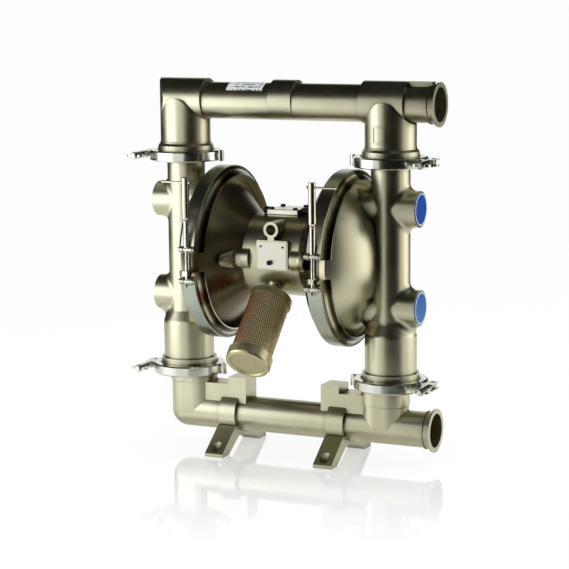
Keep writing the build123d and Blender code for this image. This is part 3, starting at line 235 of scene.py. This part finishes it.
def machined_white():
    """Faced and bright etched plate: almost white under studio light."""
    material, tree, shader, place = start("machined_white", 0.85)
    surface(tree, shader, place, ("#cdc9b7", "#dcd8c8"), patch=20 * MM, rough=(0.38, 0.46),
            grain=0.5 * MM, depth=0.01 * MM)
    return material


def die_cast_valve():
    """Die cast and faced aluminium: pale satin with crisp edges."""
    material, tree, shader, place = start("die_cast_valve", 1.0)
    surface(tree, shader, place, ("#cfccbb", "#e6e3d3"), patch=15 * MM, rough=(0.26, 0.34),
            grain=0.6 * MM, depth=0.02 * MM)
    return material


def yellow_zinc():
    """Yellow passivated zinc plating: pale brass, cloudy, half matt."""
    material, tree, shader, place = start("yellow_zinc", 0.9)
    surface(tree, shader, place, ("#bfb68e", "#d8cf9f"), patch=12 * MM, rough=(0.33, 0.43),
            grain=0.8 * MM, depth=0.03 * MM, painted_shade_reach=6 * MM)
    return material


SLEEVE_CAST_X = (-30.0 * MM, 14.0 * MM)          # red brown left of the first, golden right of the second


def plated_sleeve():
    """Perforated steel, plated through the holes: brass with a red brown cast on one side."""
    material, tree, shader, place = start("plated_sleeve", 0.55)
    across = add(tree, "ShaderNodeSeparateXYZ", {0: place}).outputs[0]
    side = add(tree, "ShaderNodeMapRange", {"Value": across, "From Min": SLEEVE_CAST_X[0],
                                            "From Max": SLEEVE_CAST_X[1]}).outputs[0]
    tone = add(tree, "ShaderNodeMix", {"Factor": side, MIX_A: colour("#9c5039"), MIX_B: colour("#f0dca4")},
               data_type="RGBA").outputs[MIX_RESULT]
    surface(tree, shader, place, tone, patch=14 * MM, rough=(0.36, 0.46),
            grain=0.6 * MM, depth=0.02 * MM)
    return material


def felt():
    """Needled felt element: rust brown fibres, darkened almost to black as painted shade inside the sleeve,
    that take the light softly.
    """
    material, tree, shader, place = start("felt", 0.0)
    surface(tree, shader, place, ("#0a0605", "#160c09"), patch=10 * MM, rough=(0.9, 1.0),
            grain=0.5 * MM, depth=0.2 * MM)
    return material


def black_plastic():
    """Glass filled nylon, moulded: deep black with a faint sheen."""
    material, tree, shader, place = start("black_plastic", 0.0)
    surface(tree, shader, place, ("#101113", "#1b1d20"), patch=10 * MM, rough=(0.34, 0.44),
            grain=0.6 * MM, depth=0.03 * MM)
    return material


def black_oxide():
    """Black oxide on alloy steel screws: oily black with worn, brighter patches."""
    material, tree, shader, place = start("black_oxide", 0.8)
    surface(tree, shader, place, ("#141414", "#2c2b29"), patch=4 * MM, rough=(0.28, 0.42),
            grain=0.4 * MM, depth=0.02 * MM)
    return material


def rubber():
    """Moulded rubber: matt, slightly grey black."""
    material, tree, shader, place = start("rubber", 0.0)
    surface(tree, shader, place, ("#17171a", "#242427"), patch=20 * MM, rough=(0.65, 0.78),
            grain=0.8 * MM, depth=0.05 * MM)
    return material


def ptfe():
    """PTFE: waxy milk white."""
    material, tree, shader, place = start("ptfe", 0.0)
    surface(tree, shader, place, ("#dcdbd3", "#eceae3"), patch=20 * MM, rough=(0.4, 0.5),
            grain=0.8 * MM, depth=0.02 * MM)
    return material


BLUE_CHANGE_Z = (250.0 * MM, 330.0 * MM)         # the lower badge is printed in a paler blue


def printed_blue():
    """Screen printed blue under clear film: even and half gloss, paler on the lower badge."""
    material, tree, shader, place = start("printed_blue", 0.0)
    shader.inputs["Specular IOR Level"].default_value = 0.1
    height = add(tree, "ShaderNodeSeparateXYZ", {0: place}).outputs[2]
    upper = add(tree, "ShaderNodeMapRange", {"Value": height, "From Min": BLUE_CHANGE_Z[0],
                                             "From Max": BLUE_CHANGE_Z[1]}).outputs[0]
    tone = add(tree, "ShaderNodeMix", {"Factor": upper, MIX_A: colour("#4d8fd0"), MIX_B: colour("#1457b8")},
               data_type="RGBA").outputs[MIX_RESULT]
    surface(tree, shader, place, tone, patch=20 * MM, rough=(0.36, 0.44),
            grain=0.6 * MM, depth=0.005 * MM)
    return material


def label_film():
    """White label film: smooth, faintly uneven gloss."""
    material, tree, shader, place = start("label_film", 0.0)
    surface(tree, shader, place, ("#e4e6e2", "#f1f2ef"), patch=15 * MM, rough=(0.35, 0.45),
            grain=0.6 * MM, depth=0.005 * MM)
    return material


LINE_HALF_PITCH = 0.118      # from the middle of a blank strip to the middle of a line, in radians
BLANK_HALF = 0.066           # half of a blank strip
WORD_SCALE = 260.0           # noise per metre, for words about 4 mm long
WORD_LEVEL = 0.42            # the noise under this is a gap between words
PRINT_INSETS = (13.0 * MM, 3.0 * MM)   # bare margin at the label's left and right


def label_print():
    """White film with plain grey strokes for lines of print, and no letters in them."""
    material, tree, shader, place = start("label_print", 0.0)
    parts = add(tree, "ShaderNodeSeparateXYZ", {0: place}).outputs
    height = add(tree, "ShaderNodeMath", {0: parts[2], 1: OUTLET_AXIS_Z}, operation="SUBTRACT").outputs[0]
    angle = add(tree, "ShaderNodeMath", {0: height, 1: parts[1]}, operation="ARCTAN2").outputs[0]
    row = add(tree, "ShaderNodeMath", {0: angle, 1: LINE_HALF_PITCH}, operation="PINGPONG").outputs[0]
    words = add(tree, "ShaderNodeTexNoise", {"Vector": place, "Scale": WORD_SCALE, "Detail": 0.0}).outputs[0]
    ink = 1.0
    for value, limit, side in ((row, BLANK_HALF, "GREATER_THAN"), (words, WORD_LEVEL, "GREATER_THAN"),
                               (parts[0], LABEL_X[0] + PRINT_INSETS[0], "GREATER_THAN"),
                               (parts[0], LABEL_X[1] - PRINT_INSETS[1], "LESS_THAN")):
        mask = add(tree, "ShaderNodeMath", {0: value, 1: limit}, operation=side).outputs[0]
        ink = add(tree, "ShaderNodeMath", {0: ink, 1: mask}, operation="MULTIPLY").outputs[0]
    tone = add(tree, "ShaderNodeMix", {"Factor": ink, MIX_A: colour("#eef0ec"), MIX_B: colour("#66736e")},
               data_type="RGBA").outputs[MIX_RESULT]
    surface(tree, shader, place, tone, patch=15 * MM, rough=(0.35, 0.45),
            grain=0.6 * MM, depth=0.005 * MM)
    return material


CAST, COVER, CLAMP, STRIP = cast_stainless(), machined_cover_painted_shade(), electropolished(), rolled_strip()
SEGMENT, TURNED, WHITE, VALVE = formed_segment_painted_light(), turned_steel(), machined_white(), die_cast_valve()
ZINC, SLEEVE, FELT, BLACK = yellow_zinc(), plated_sleeve(), felt(), black_plastic()
OXIDE, RUBBER, PTFE, BLUE = black_oxide(), rubber(), ptfe(), printed_blue()
FILM, PRINT = label_film(), label_print()

FINISHES = [
    (COVER, ("air_cover",)),
    (CLAMP, ("clamp_front", "clamp_rear", "clamp_pins", "swing_bolts", "wing_nut")),
    (STRIP, ("band_strap",)),
    (SEGMENT, ("band_segments",)),
    (TURNED, ("band_trunnions", "band_bolts", "t_nut", "t_bar", "diaphragm_shaft", "pilot_pin",
              "valve_spool", "air_cover_bolts", "air_plates", "fluid_plates", "ball_seats")),
    (WHITE, ("name_plate",)),
    (VALVE, ("valve_body",)),
    (ZINC, ("muffler_head", "muffler_end_cap")),
    (SLEEVE, ("muffler_sleeve",)),
    (FELT, ("muffler_core",)),
    (BLACK, ("valve_caps",)),
    (OXIDE, ("valve_screws", "plate_screws")),
    (RUBBER, ("left_diaphragm", "right_diaphragm", "valve_gasket", "upper_ball", "lower_ball")),
    (PTFE, ("clamp_gaskets", "shaft_bearings")),
    (BLUE, ("badges",)),
]


def finish_of(name):
    """Finish of a node by the end of its name. What isn't listed is cast."""
    for material, endings in FINISHES:
        if any(name.endswith(ending) for ending in endings):
            return material
    return CAST


for name, node in nodes.items():
    node.data.materials.clear()
    node.data.materials.append(finish_of(name))


# ---------------------------------------------------------------- geometry node helpers
def new_tree(name, inputs):
    """An empty tree with named inputs. inputs maps a name to its socket type."""
    tree = bpy.data.node_groups.new(name, "GeometryNodeTree")
    for label, kind in inputs.items():
        tree.interface.new_socket(name=label, in_out="INPUT", socket_type=kind)
    tree.interface.new_socket(name="Geometry", in_out="OUTPUT", socket_type="NodeSocketGeometry")
    return tree, add(tree, "NodeGroupInput").outputs


def grow(name, tree, values, body):
    """Runs a tree on an empty object and returns the plain mesh that it makes, riding on a body."""
    carrier = bpy.data.objects.new(name + "_carrier", bpy.data.meshes.new(name + "_carrier"))
    bpy.context.scene.collection.objects.link(carrier)
    modifier = carrier.modifiers.new("Grow", "NODES")
    modifier.node_group = tree
    for item in tree.interface.items_tree:
        if item.in_out == "INPUT":
            modifier[item.identifier] = values[item.name]
    bpy.context.view_layer.update()
    mesh = bpy.data.meshes.new_from_object(carrier.evaluated_get(bpy.context.evaluated_depsgraph_get()))
    carrier.modifiers.remove(modifier)
    bpy.data.objects.remove(carrier)
    return place_piece(name, mesh, body)


def place_piece(name, mesh, body, material=None):
    """Makes a piece of a mesh. A mesh from a tree has its material already."""
    mesh.name = name
    if material:
        mesh.materials.append(material)
    piece = bpy.data.objects.new(name, mesh)
    bpy.context.scene.collection.objects.link(piece)
    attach(piece, body)
    return piece


def finished_mesh(name, mesh):
    """Turns a bmesh into a mesh with its faces outwards."""
    bmesh.ops.recalc_face_normals(mesh, faces=mesh.faces)
    made = bpy.data.meshes.new(name)
    mesh.to_mesh(made)
    mesh.free()
    return made


def join_loops(mesh, first, second):
    """Faces between two closed loops of as many points."""
    for i in range(len(first)):
        follow = (i + 1) % len(first)
        mesh.faces.new((first[i], first[follow], second[follow], second[i]))


# ---------------------------------------------------------------- perforated muffler sleeve
def hole_cell(pitch):
    """One hexagon of sheet with a round hole, top and bottom face and the hole's wall."""
    mesh = bmesh.new()
    rim = pitch / math.sqrt(3)
    hole = pitch * HOLE_SHARE
    layers = []
    for z in (0.0, -SLEEVE_WALL):
        outer = [mesh.verts.new((rim * math.sin(i * math.pi / 3), rim * math.cos(i * math.pi / 3), z))
                 for i in range(6)]
        inner = [mesh.verts.new((hole * math.sin((i - 0.5) * math.pi / 6),
                                 hole * math.cos((i - 0.5) * math.pi / 6), z)) for i in range(12)]
        for i in range(6):
            mesh.faces.new((outer[i], inner[2 * i], inner[2 * i + 1]))
            mesh.faces.new((outer[i], inner[2 * i + 1], inner[(2 * i + 2) % 12], outer[(i + 1) % 6]))
        layers.append(inner)
    join_loops(mesh, *layers)
    cell = bpy.data.objects.new("hole_cell", finished_mesh("hole_cell", mesh))
    bpy.context.scene.collection.objects.link(cell)
    return cell


def perforation_tree():
    """Rows of cells, every second row shifted by half a pitch, rolled into a tube and laid along an axis."""
    tree, given = new_tree("perforation", {
        "Cell": "NodeSocketObject", "Around": "NodeSocketInt", "Rows": "NodeSocketInt",
        "Pitch": "NodeSocketFloat", "Radius": "NodeSocketFloat", "Turn": "NodeSocketRotation",
        "Place": "NodeSocketVector", "Material": "NodeSocketMaterial",
    })
    around, pitch, radius = given["Around"], given["Pitch"], given["Radius"]
    math_node = "ShaderNodeMath"
    index = add(tree, "GeometryNodeInputIndex").outputs[0]
    row = add(tree, math_node, {0: index, 1: around}, operation="DIVIDE").outputs[0]
    row = add(tree, math_node, {0: row}, operation="FLOOR").outputs[0]
    column = add(tree, math_node, {0: index, 1: around}, operation="MODULO").outputs[0]
    shift = add(tree, math_node, {0: row, 1: 2.0}, operation="MODULO").outputs[0]
    shift = add(tree, math_node, {0: shift, 1: 0.5}, operation="MULTIPLY").outputs[0]
    column = add(tree, math_node, {0: column, 1: shift}).outputs[0]
    across = add(tree, math_node, {0: column, 1: pitch}, operation="MULTIPLY").outputs[0]
    spacing = add(tree, math_node, {0: pitch, 1: math.sqrt(3) / 2}, operation="MULTIPLY").outputs[0]
    last = add(tree, math_node, {0: given["Rows"], 1: 1.0}, operation="SUBTRACT").outputs[0]
    middle = add(tree, math_node, {0: last, 1: 0.5}, operation="MULTIPLY").outputs[0]
    row = add(tree, math_node, {0: row, 1: middle}, operation="SUBTRACT").outputs[0]
    along = add(tree, math_node, {0: row, 1: spacing}, operation="MULTIPLY").outputs[0]
    count = add(tree, math_node, {0: around, 1: given["Rows"]}, operation="MULTIPLY").outputs[0]

    spots = add(tree, "ShaderNodeCombineXYZ", {0: across, 1: along}).outputs[0]
    points = add(tree, "GeometryNodePoints", {"Count": count, "Position": spots}).outputs[0]
    cell = add(tree, "GeometryNodeObjectInfo", {"Object": given["Cell"]}).outputs["Geometry"]
    cells = add(tree, "GeometryNodeInstanceOnPoints", {"Points": points, "Instance": cell}).outputs[0]
    cells = add(tree, "GeometryNodeRealizeInstances", {0: cells}).outputs[0]

    flat = add(tree, "ShaderNodeSeparateXYZ", {0: add(tree, "GeometryNodeInputPosition").outputs[0]}).outputs
    angle = add(tree, math_node, {0: flat[0], 1: radius}, operation="DIVIDE").outputs[0]
    reach = add(tree, math_node, {0: radius, 1: flat[2]}).outputs[0]
    cosine = add(tree, math_node, {0: angle}, operation="COSINE").outputs[0]
    sine = add(tree, math_node, {0: angle}, operation="SINE").outputs[0]
    x = add(tree, math_node, {0: reach, 1: cosine}, operation="MULTIPLY").outputs[0]
    y = add(tree, math_node, {0: reach, 1: sine}, operation="MULTIPLY").outputs[0]
    rolled = add(tree, "ShaderNodeCombineXYZ", {0: x, 1: y, 2: flat[1]}).outputs[0]
    tube = add(tree, "GeometryNodeSetPosition", {"Geometry": cells, "Position": rolled}).outputs[0]
    tube = add(tree, "GeometryNodeMergeByDistance", {"Geometry": tube, "Distance": SEAM_GAP}).outputs[0]
    tube = add(tree, "GeometryNodeTransform", {"Geometry": tube, "Translation": given["Place"],
                                               "Rotation": given["Turn"]}).outputs[0]
    tube = add(tree, "GeometryNodeSetMaterial", {"Geometry": tube, "Material": given["Material"]}).outputs[0]
    add(tree, "NodeGroupOutput", {0: tube})
    return tree


def perforated_sleeve():
    """Sleeve with its holes open, in place of the plain one. A tilted tube's box gives its length."""
    low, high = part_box("muffler_sleeve")
    size = high - low
    radius = size.x / 2
    length = (size.y - 2 * radius * math.cos(MUFFLER_TILT)) / math.sin(MUFFLER_TILT)
    pitch = 2 * math.pi * radius / HOLES_AROUND
    cell = hole_cell(pitch)
    rows = int((length - 2 * pitch) / (pitch * math.sqrt(3) / 2))
    sleeve = grow("perforated_sleeve", perforation_tree(), {
        "Cell": cell, "Around": HOLES_AROUND, "Rows": rows, "Pitch": pitch, "Radius": radius,
        "Turn": (math.pi - MUFFLER_TILT, 0.0, 0.0), "Place": (low + high) / 2, "Material": SLEEVE,
    }, "root")
    bpy.data.objects.remove(cell)
    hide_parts("muffler_sleeve")


perforated_sleeve()


# ---------------------------------------------------------------- threads
def thread_tree():
    """A helical ridge of triangular section, as cut on a bar, laid along an axis."""
    tree, given = new_tree("thread", {
        "Turns": "NodeSocketFloat", "Radius": "NodeSocketFloat", "Length": "NodeSocketFloat",
        "Ridge": "NodeSocketFloat", "Turn": "NodeSocketRotation", "Place": "NodeSocketVector",
        "Material": "NodeSocketMaterial",
    })
    helix = add(tree, "GeometryNodeCurveSpiral", {
        "Resolution": 16, "Rotations": given["Turns"], "Start Radius": given["Radius"],
        "End Radius": given["Radius"], "Height": given["Length"]}).outputs[0]
    section = add(tree, "GeometryNodeCurvePrimitiveCircle", {"Resolution": 3,
                                                             "Radius": given["Ridge"]}).outputs[0]
    ridge = add(tree, "GeometryNodeCurveToMesh", {"Curve": helix, "Profile Curve": section,
                                                  "Fill Caps": True}).outputs[0]
    ridge = add(tree, "GeometryNodeTransform", {"Geometry": ridge, "Translation": given["Place"],
                                                "Rotation": given["Turn"]}).outputs[0]
    ridge = add(tree, "GeometryNodeRealizeInstances", {0: ridge}).outputs[0]
    ridge = add(tree, "GeometryNodeSetMaterial", {"Geometry": ridge,
                                                  "Material": given["Material"]}).outputs[0]
    add(tree, "NodeGroupOutput", {0: ridge})
    return tree


THREAD = thread_tree()


def cut_thread(name, radius, pitch, foot, length, turn):
    grow(name, THREAD, {
        "Turns": length / pitch, "Radius": radius, "Length": length, "Ridge": pitch * RIDGE_SHARE,
        "Turn": turn, "Place": foot, "Material": TURNED}, "root")


def band_bolt_thread(side):
    """Thread on a V-band's upright bolt, up to its long nut."""
    axis = centre_of(side + "_t_nut")
    low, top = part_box("band_bolts")[0].z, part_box(side + "_t_nut")[0].z
    foot = (top + low) / 2 + BAND_BOLT_SHANK
    cut_thread(side + "_t_bolt_thread", BAND_BOLT_RADIUS, BAND_THREAD_PITCH, (axis.x, axis.y, foot),
               top - foot - BAND_THREAD_PITCH, (0.0, 0.0, 0.0))


def clamp_bolt_thread(side, level):
    """Thread on a column clamp's swing bolt, from inside its wing nut to the tip."""
    nut_low, nut_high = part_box(side + "_" + level + "_wing_nut")
    middle = (nut_low + nut_high) / 2
    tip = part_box("swing_bolts")[0].y
    cut_thread(side + "_" + level + "_bolt_thread", CLAMP_BOLT_RADIUS, CLAMP_THREAD_PITCH,
               (middle.x, nut_low.y - THREAD_RUN_OUT * CLAMP_THREAD_PITCH, middle.z),
               nut_low.y - tip - CLAMP_THREAD_PITCH, (math.pi / 2, 0.0, 0.0))


for side in SIDES:
    band_bolt_thread(side)
    for level in LEVELS:
        clamp_bolt_thread(side, level)


# ---------------------------------------------------------------- badges' rims and the label
def badge_rim(level):
    """Raised rim with a soft top, round a badge on a boss of the right fluid cover."""
    low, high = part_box("badges")
    badge_radius = (high.y - low.y) / 2
    centre_z = high.z - badge_radius if level == "upper" else low.z + badge_radius
    inner, outer = (badge_radius * share for share in RIM_SHARES)
    foot = high.x - RIM_SINK
    section = [(outer, 0.0), (outer, RIM_PROUD * 0.6), (outer - RIM_PROUD, RIM_PROUD),
               (inner + RIM_PROUD, RIM_PROUD), (inner, RIM_PROUD * 0.6), (inner, 0.0)]
    mesh = bmesh.new()
    steps = 96
    loops = []
    for i in range(steps):
        angle = 2 * math.pi * i / steps
        loops.append([mesh.verts.new((foot + height, radius * math.cos(angle),
                                      centre_z + radius * math.sin(angle))) for radius, height in section])
    for first, second in zip(loops, loops[1:] + loops[:1]):
        join_loops(mesh, first, second)
    rim = finished_mesh(level + "_badge_rim", mesh)
    rim.shade_smooth()
    place_piece(level + "_badge_rim", rim, "root", FILM)


for level in LEVELS:
    badge_rim(level)


def blank_label():
    """Label film on the front of the outlet pipe, following its curve. Its strokes spell nothing."""
    mesh = bmesh.new()
    steps = 14
    back, face = [], []
    for rows, lift in ((back, LABEL_LIFTS[0]), (face, LABEL_LIFTS[1])):
        radius = OUTLET_PIPE_RADIUS + lift
        for i in range(steps + 1):
            angle = math.radians(LABEL_ARC[0] + (LABEL_ARC[1] - LABEL_ARC[0]) * i / steps)
            y, z = -radius * math.cos(angle), OUTLET_AXIS_Z + radius * math.sin(angle)
            rows.append([mesh.verts.new((x, y, z)) for x in LABEL_X])
    for i in range(steps):
        for rows in (back, face):
            mesh.faces.new((rows[i][0], rows[i][1], rows[i + 1][1], rows[i + 1][0]))
        for end in (0, 1):
            mesh.faces.new((back[i][end], back[i + 1][end], face[i + 1][end], face[i][end]))
    for i in (0, steps):
        mesh.faces.new((back[i][0], back[i][1], face[i][1], face[i][0]))
    place_piece("blank_label", finished_mesh("blank_label", mesh), "root", PRINT)


blank_label()


# ---------------------------------------------------------------- cast forms
def nose(side):
    """Boss on an air cover: a round lug that runs on as a cone leaning along the bowl."""
    sign = -1 if side == "left" else 1
    mesh = bmesh.new()
    steps = 56
    turns = [2 * math.pi * i / steps for i in range(steps)]
    rings = []
    for x, y, radius in NOSE_RINGS:
        rings.append([mesh.verts.new((sign * x * MM, (y + radius * math.cos(turn)) * MM,
                                      DIAPHRAGM_AXIS_Z + radius * math.sin(turn) * MM)) for turn in turns])
    for first, second in zip(rings, rings[1:]):
        join_loops(mesh, first, second)
    for end in (rings[0], rings[-1]):
        mesh.faces.new(end)
    made = finished_mesh(side + "_nose", mesh)
    made.shade_smooth()
    made.set_sharp_from_angle(angle=NOSE_EDGE)
    place_piece(side + "_nose", made, "root", CAST)


for side in SIDES:
    nose(side)


def cast_frame():
    """Raised square frame on the riser's cast pad, following its curve."""
    mesh = bmesh.new()
    half_x, half_z, bar = PAD_FRAME
    centre_x, centre_z = PAD_CENTRE
    inner_x, inner_z = half_x - bar, half_z - bar
    steps = 10
    for x0, x1, z0, z1 in ((-half_x, half_x, -half_z, -inner_z), (-half_x, half_x, inner_z, half_z),
                           (-half_x, -inner_x, -inner_z, inner_z), (inner_x, half_x, -inner_z, inner_z)):
        loops = []
        for i in range(steps + 1):
            x = centre_x + x0 + (x1 - x0) * i / steps
            section = []
            for lift, z in ((-PAD_SINK, z0), (PAD_LIFT, z0), (PAD_LIFT, z1), (-PAD_SINK, z1)):
                y = -math.sqrt((PAD_RADIUS + lift) ** 2 - (x - COLUMN_X) ** 2)
                section.append(mesh.verts.new((x, y, centre_z + z)))
            loops.append(section)
        for first, second in zip(loops, loops[1:]):
            join_loops(mesh, first, second)
        for end in (loops[0], loops[-1]):
            mesh.faces.new(end)
    place_piece("cast_frame", finished_mesh("cast_frame", mesh), "root", CAST)


cast_frame()


# ---------------------------------------------------------------- camera
CAMERA_AZIMUTH = math.radians(24.55)
CAMERA_ELEVATION = math.radians(9.24)
CAMERA_ROLL = math.radians(-0.53)       # negative turns the camera clockwise
CAMERA_DISTANCE = 3.440
CAMERA_TARGET = Vector((-0.0051, 0.0, 0.30616))
CAMERA_LENS, SENSOR_WIDTH = 121.43, 36.0        # in mm

back = Vector((math.sin(CAMERA_AZIMUTH) * math.cos(CAMERA_ELEVATION),
               -math.cos(CAMERA_AZIMUTH) * math.cos(CAMERA_ELEVATION), math.sin(CAMERA_ELEVATION)))
right = Vector((math.cos(CAMERA_AZIMUTH), math.sin(CAMERA_AZIMUTH), 0.0))
up = back.cross(right)
rolled_right = right * math.cos(CAMERA_ROLL) + up * math.sin(CAMERA_ROLL)
rolled_up = up * math.cos(CAMERA_ROLL) - right * math.sin(CAMERA_ROLL)

camera = bpy.data.objects.new("camera", bpy.data.cameras.new("camera"))
camera.data.sensor_width = SENSOR_WIDTH
camera.data.lens = CAMERA_LENS
camera.matrix_world = Matrix.Translation(CAMERA_TARGET + back * CAMERA_DISTANCE) @ Matrix(
    (rolled_right, rolled_up, back)).transposed().to_4x4()
bpy.context.scene.collection.objects.link(camera)
bpy.context.scene.camera = camera


# ---------------------------------------------------------------- studio
STUDIO_CENTRE = Vector((0.0, 0.0, 0.34))
FLOOR_HALF = 150.0
FLOOR_GLOW, FLOOR_MATT = 1.12, 0.28      # brightness of its own, and the share that takes shadows
GLOSS_SHARE = 0.34                       # of mirror in the floor, under the object
GLOSS_BEHIND = (-0.3, -0.2)              # where it starts, in metres from the middle to the camera
GLOSS_AHEAD = (0.08, 0.6)                # and where it fades out again
GLOSS_ASIDE = (0.3, 0.38)                # where it fades to the left and right
WORLD_LIGHT, WORLD_SEEN = 0.7, 1.0       # strength on the object, and to the camera and the metal


def towards(azimuth, elevation):
    """Direction from the object, by degrees to the right of the camera and above the horizon."""
    a, e = CAMERA_AZIMUTH + math.radians(azimuth), math.radians(elevation)
    return Vector((math.sin(a) * math.cos(e), -math.cos(a) * math.cos(e), math.sin(e)))


def facing(azimuth, elevation, distance):
    """Place and turn of a flat thing that looks back at the object."""
    direction = towards(azimuth, elevation)
    turn = direction.to_track_quat("Z", "Y").to_matrix().to_4x4()
    return Matrix.Translation(STUDIO_CENTRE + direction * distance) @ turn


def softbox(name, azimuth, elevation, distance, size, power, tint="#ffffff"):
    """Rectangular lamp, which draws a bright streak on the metal."""
    lamp = bpy.data.lights.new(name, "AREA")
    lamp.color = colour(tint)[:3]
    lamp.shape = "RECTANGLE"
    lamp.size, lamp.size_y = size
    lamp.energy = power
    holder = bpy.data.objects.new(name, lamp)
    holder.matrix_world = facing(azimuth, elevation, distance)
    bpy.context.scene.collection.objects.link(holder)


def sheet(name, size, place, material):
    """Flat sheet of the studio, which the export leaves out."""
    mesh = bmesh.new()
    bmesh.ops.create_grid(mesh, x_segments=1, y_segments=1, size=0.5)
    bmesh.ops.scale(mesh, vec=(size[0], size[1], 1.0), verts=mesh.verts)
    bmesh.ops.transform(mesh, matrix=place, verts=mesh.verts)
    made = bpy.data.meshes.new(name)
    mesh.to_mesh(made)
    mesh.free()
    made.materials.append(material)
    piece = bpy.data.objects.new(name, made)
    bpy.context.scene.collection.objects.link(piece)
    return piece


def flag(name, azimuth, elevation, distance, size):
    """Dark card beside the set, seen only in reflections, that draws the dark streaks on the metal."""
    card = sheet(name, size, facing(azimuth, elevation, distance), CARD)
    card.visible_camera = card.visible_diffuse = card.visible_shadow = False


def black_card():
    """Matt black card: takes no light, so its mirror image is a clean dark streak."""
    material, tree, shader, place = start("black_card", 0.0)
    surface(tree, shader, place, ("#1a160e", "#262116"), patch=500 * MM, rough=(0.95, 1.0),
            grain=10 * MM, depth=0.1 * MM)
    return material


def seen_or_mirrored(tree):
    """1 for what the camera sees, straight or by a mirror or glass, and 0 for what lights the object."""
    rays = add(tree, "ShaderNodeLightPath").outputs
    seen = add(tree, "ShaderNodeMath", {0: rays["Is Camera Ray"], 1: rays["Is Glossy Ray"]},
               operation="MAXIMUM").outputs[0]
    return add(tree, "ShaderNodeMath", {0: seen, 1: rays["Is Transmission Ray"]},
               operation="MAXIMUM").outputs[0]


def pale_floor():
    """Pale glossy table: near white, with a faint blurred reflection and a soft shadow."""
    material = bpy.data.materials.new("pale_floor")
    material.use_nodes = True
    tree = material.node_tree
    tree.nodes.remove(tree.nodes["Principled BSDF"])
    strength = add(tree, "ShaderNodeMath", {0: seen_or_mirrored(tree), 1: FLOOR_GLOW},
                   operation="MULTIPLY").outputs[0]
    glow = add(tree, "ShaderNodeEmission", {"Color": (1, 1, 1, 1), "Strength": strength}).outputs[0]
    matt = add(tree, "ShaderNodeBsdfDiffuse", {"Color": colour("#f2f2f2")}).outputs[0]
    plain = add(tree, "ShaderNodeMixShader", {0: FLOOR_MATT, 1: glow, 2: matt}).outputs[0]
    gloss = add(tree, "ShaderNodeBsdfGlossy", {"Color": (1, 1, 1, 1), "Roughness": 0.05}).outputs[0]
    ground = add(tree, "ShaderNodeTexCoord").outputs["Object"]
    ahead = add(tree, "ShaderNodeVectorMath", {0: ground, 1: towards(0, 0)},
                operation="DOT_PRODUCT").outputs["Value"]
    aside = add(tree, "ShaderNodeVectorMath", {0: ground, 1: towards(90, 0)},
                operation="DOT_PRODUCT").outputs["Value"]
    aside = add(tree, "ShaderNodeMath", {0: aside}, operation="ABSOLUTE").outputs[0]
    share = GLOSS_SHARE
    for value, (low, high), ends in ((ahead, GLOSS_AHEAD, (1.0, 0.0)), (aside, GLOSS_ASIDE, (1.0, 0.0)),
                                     (ahead, GLOSS_BEHIND, (0.0, 1.0))):
        fade = add(tree, "ShaderNodeMapRange", {"Value": value, "From Min": low, "From Max": high,
                                                "To Min": ends[0], "To Max": ends[1]}).outputs[0]
        share = add(tree, "ShaderNodeMath", {0: share, 1: fade}, operation="MULTIPLY").outputs[0]
    mixed = add(tree, "ShaderNodeMixShader", {0: share, 1: plain, 2: gloss}).outputs[0]
    tree.links.new(mixed, tree.nodes["Material Output"].inputs["Surface"])
    return material


def white_world():
    """White all round to the camera and to metal, and a plain level of light on the object."""
    world = bpy.data.worlds.new("studio")
    bpy.context.scene.world = world
    world.use_nodes = True
    tree = world.node_tree
    strength = add(tree, "ShaderNodeMapRange", {"Value": seen_or_mirrored(tree), "To Min": WORLD_LIGHT,
                                                "To Max": WORLD_SEEN}).outputs[0]
    shade = tree.nodes["Background"]
    shade.inputs["Color"].default_value = (1, 1, 1, 1)
    tree.links.new(strength, shade.inputs["Strength"])


bpy.context.scene.view_settings.view_transform = "Standard"
CARD = black_card()
sheet("floor", (2 * FLOOR_HALF, 2 * FLOOR_HALF), Matrix.Identity(4), pale_floor())
white_world()

# Azimuth, elevation, distance, width and height, then watts and tint.
softbox("key_left", -74, 0, 1.0, (0.8, 1.0), 5, "#e9efff")
softbox("side_right", 90, 2, 1.2, (0.6, 1.3), 3)
softbox("sky_right", 78, 60, 2.1, (0.9, 0.7), 7, "#cfe0f4")
flag("flag_front", 16, 10, 0.56, (0.8, 1.0))
flag("flag_top", 0, 90, 1.4, (4.4, 4.4))
flag("flag_back", 180, 52, 2.0, (3.4, 1.5))
flag("flag_left", -130, 18, 1.5, (1.5, 2.2))
flag("flag_right", 138, 18, 1.5, (1.1, 2.2))
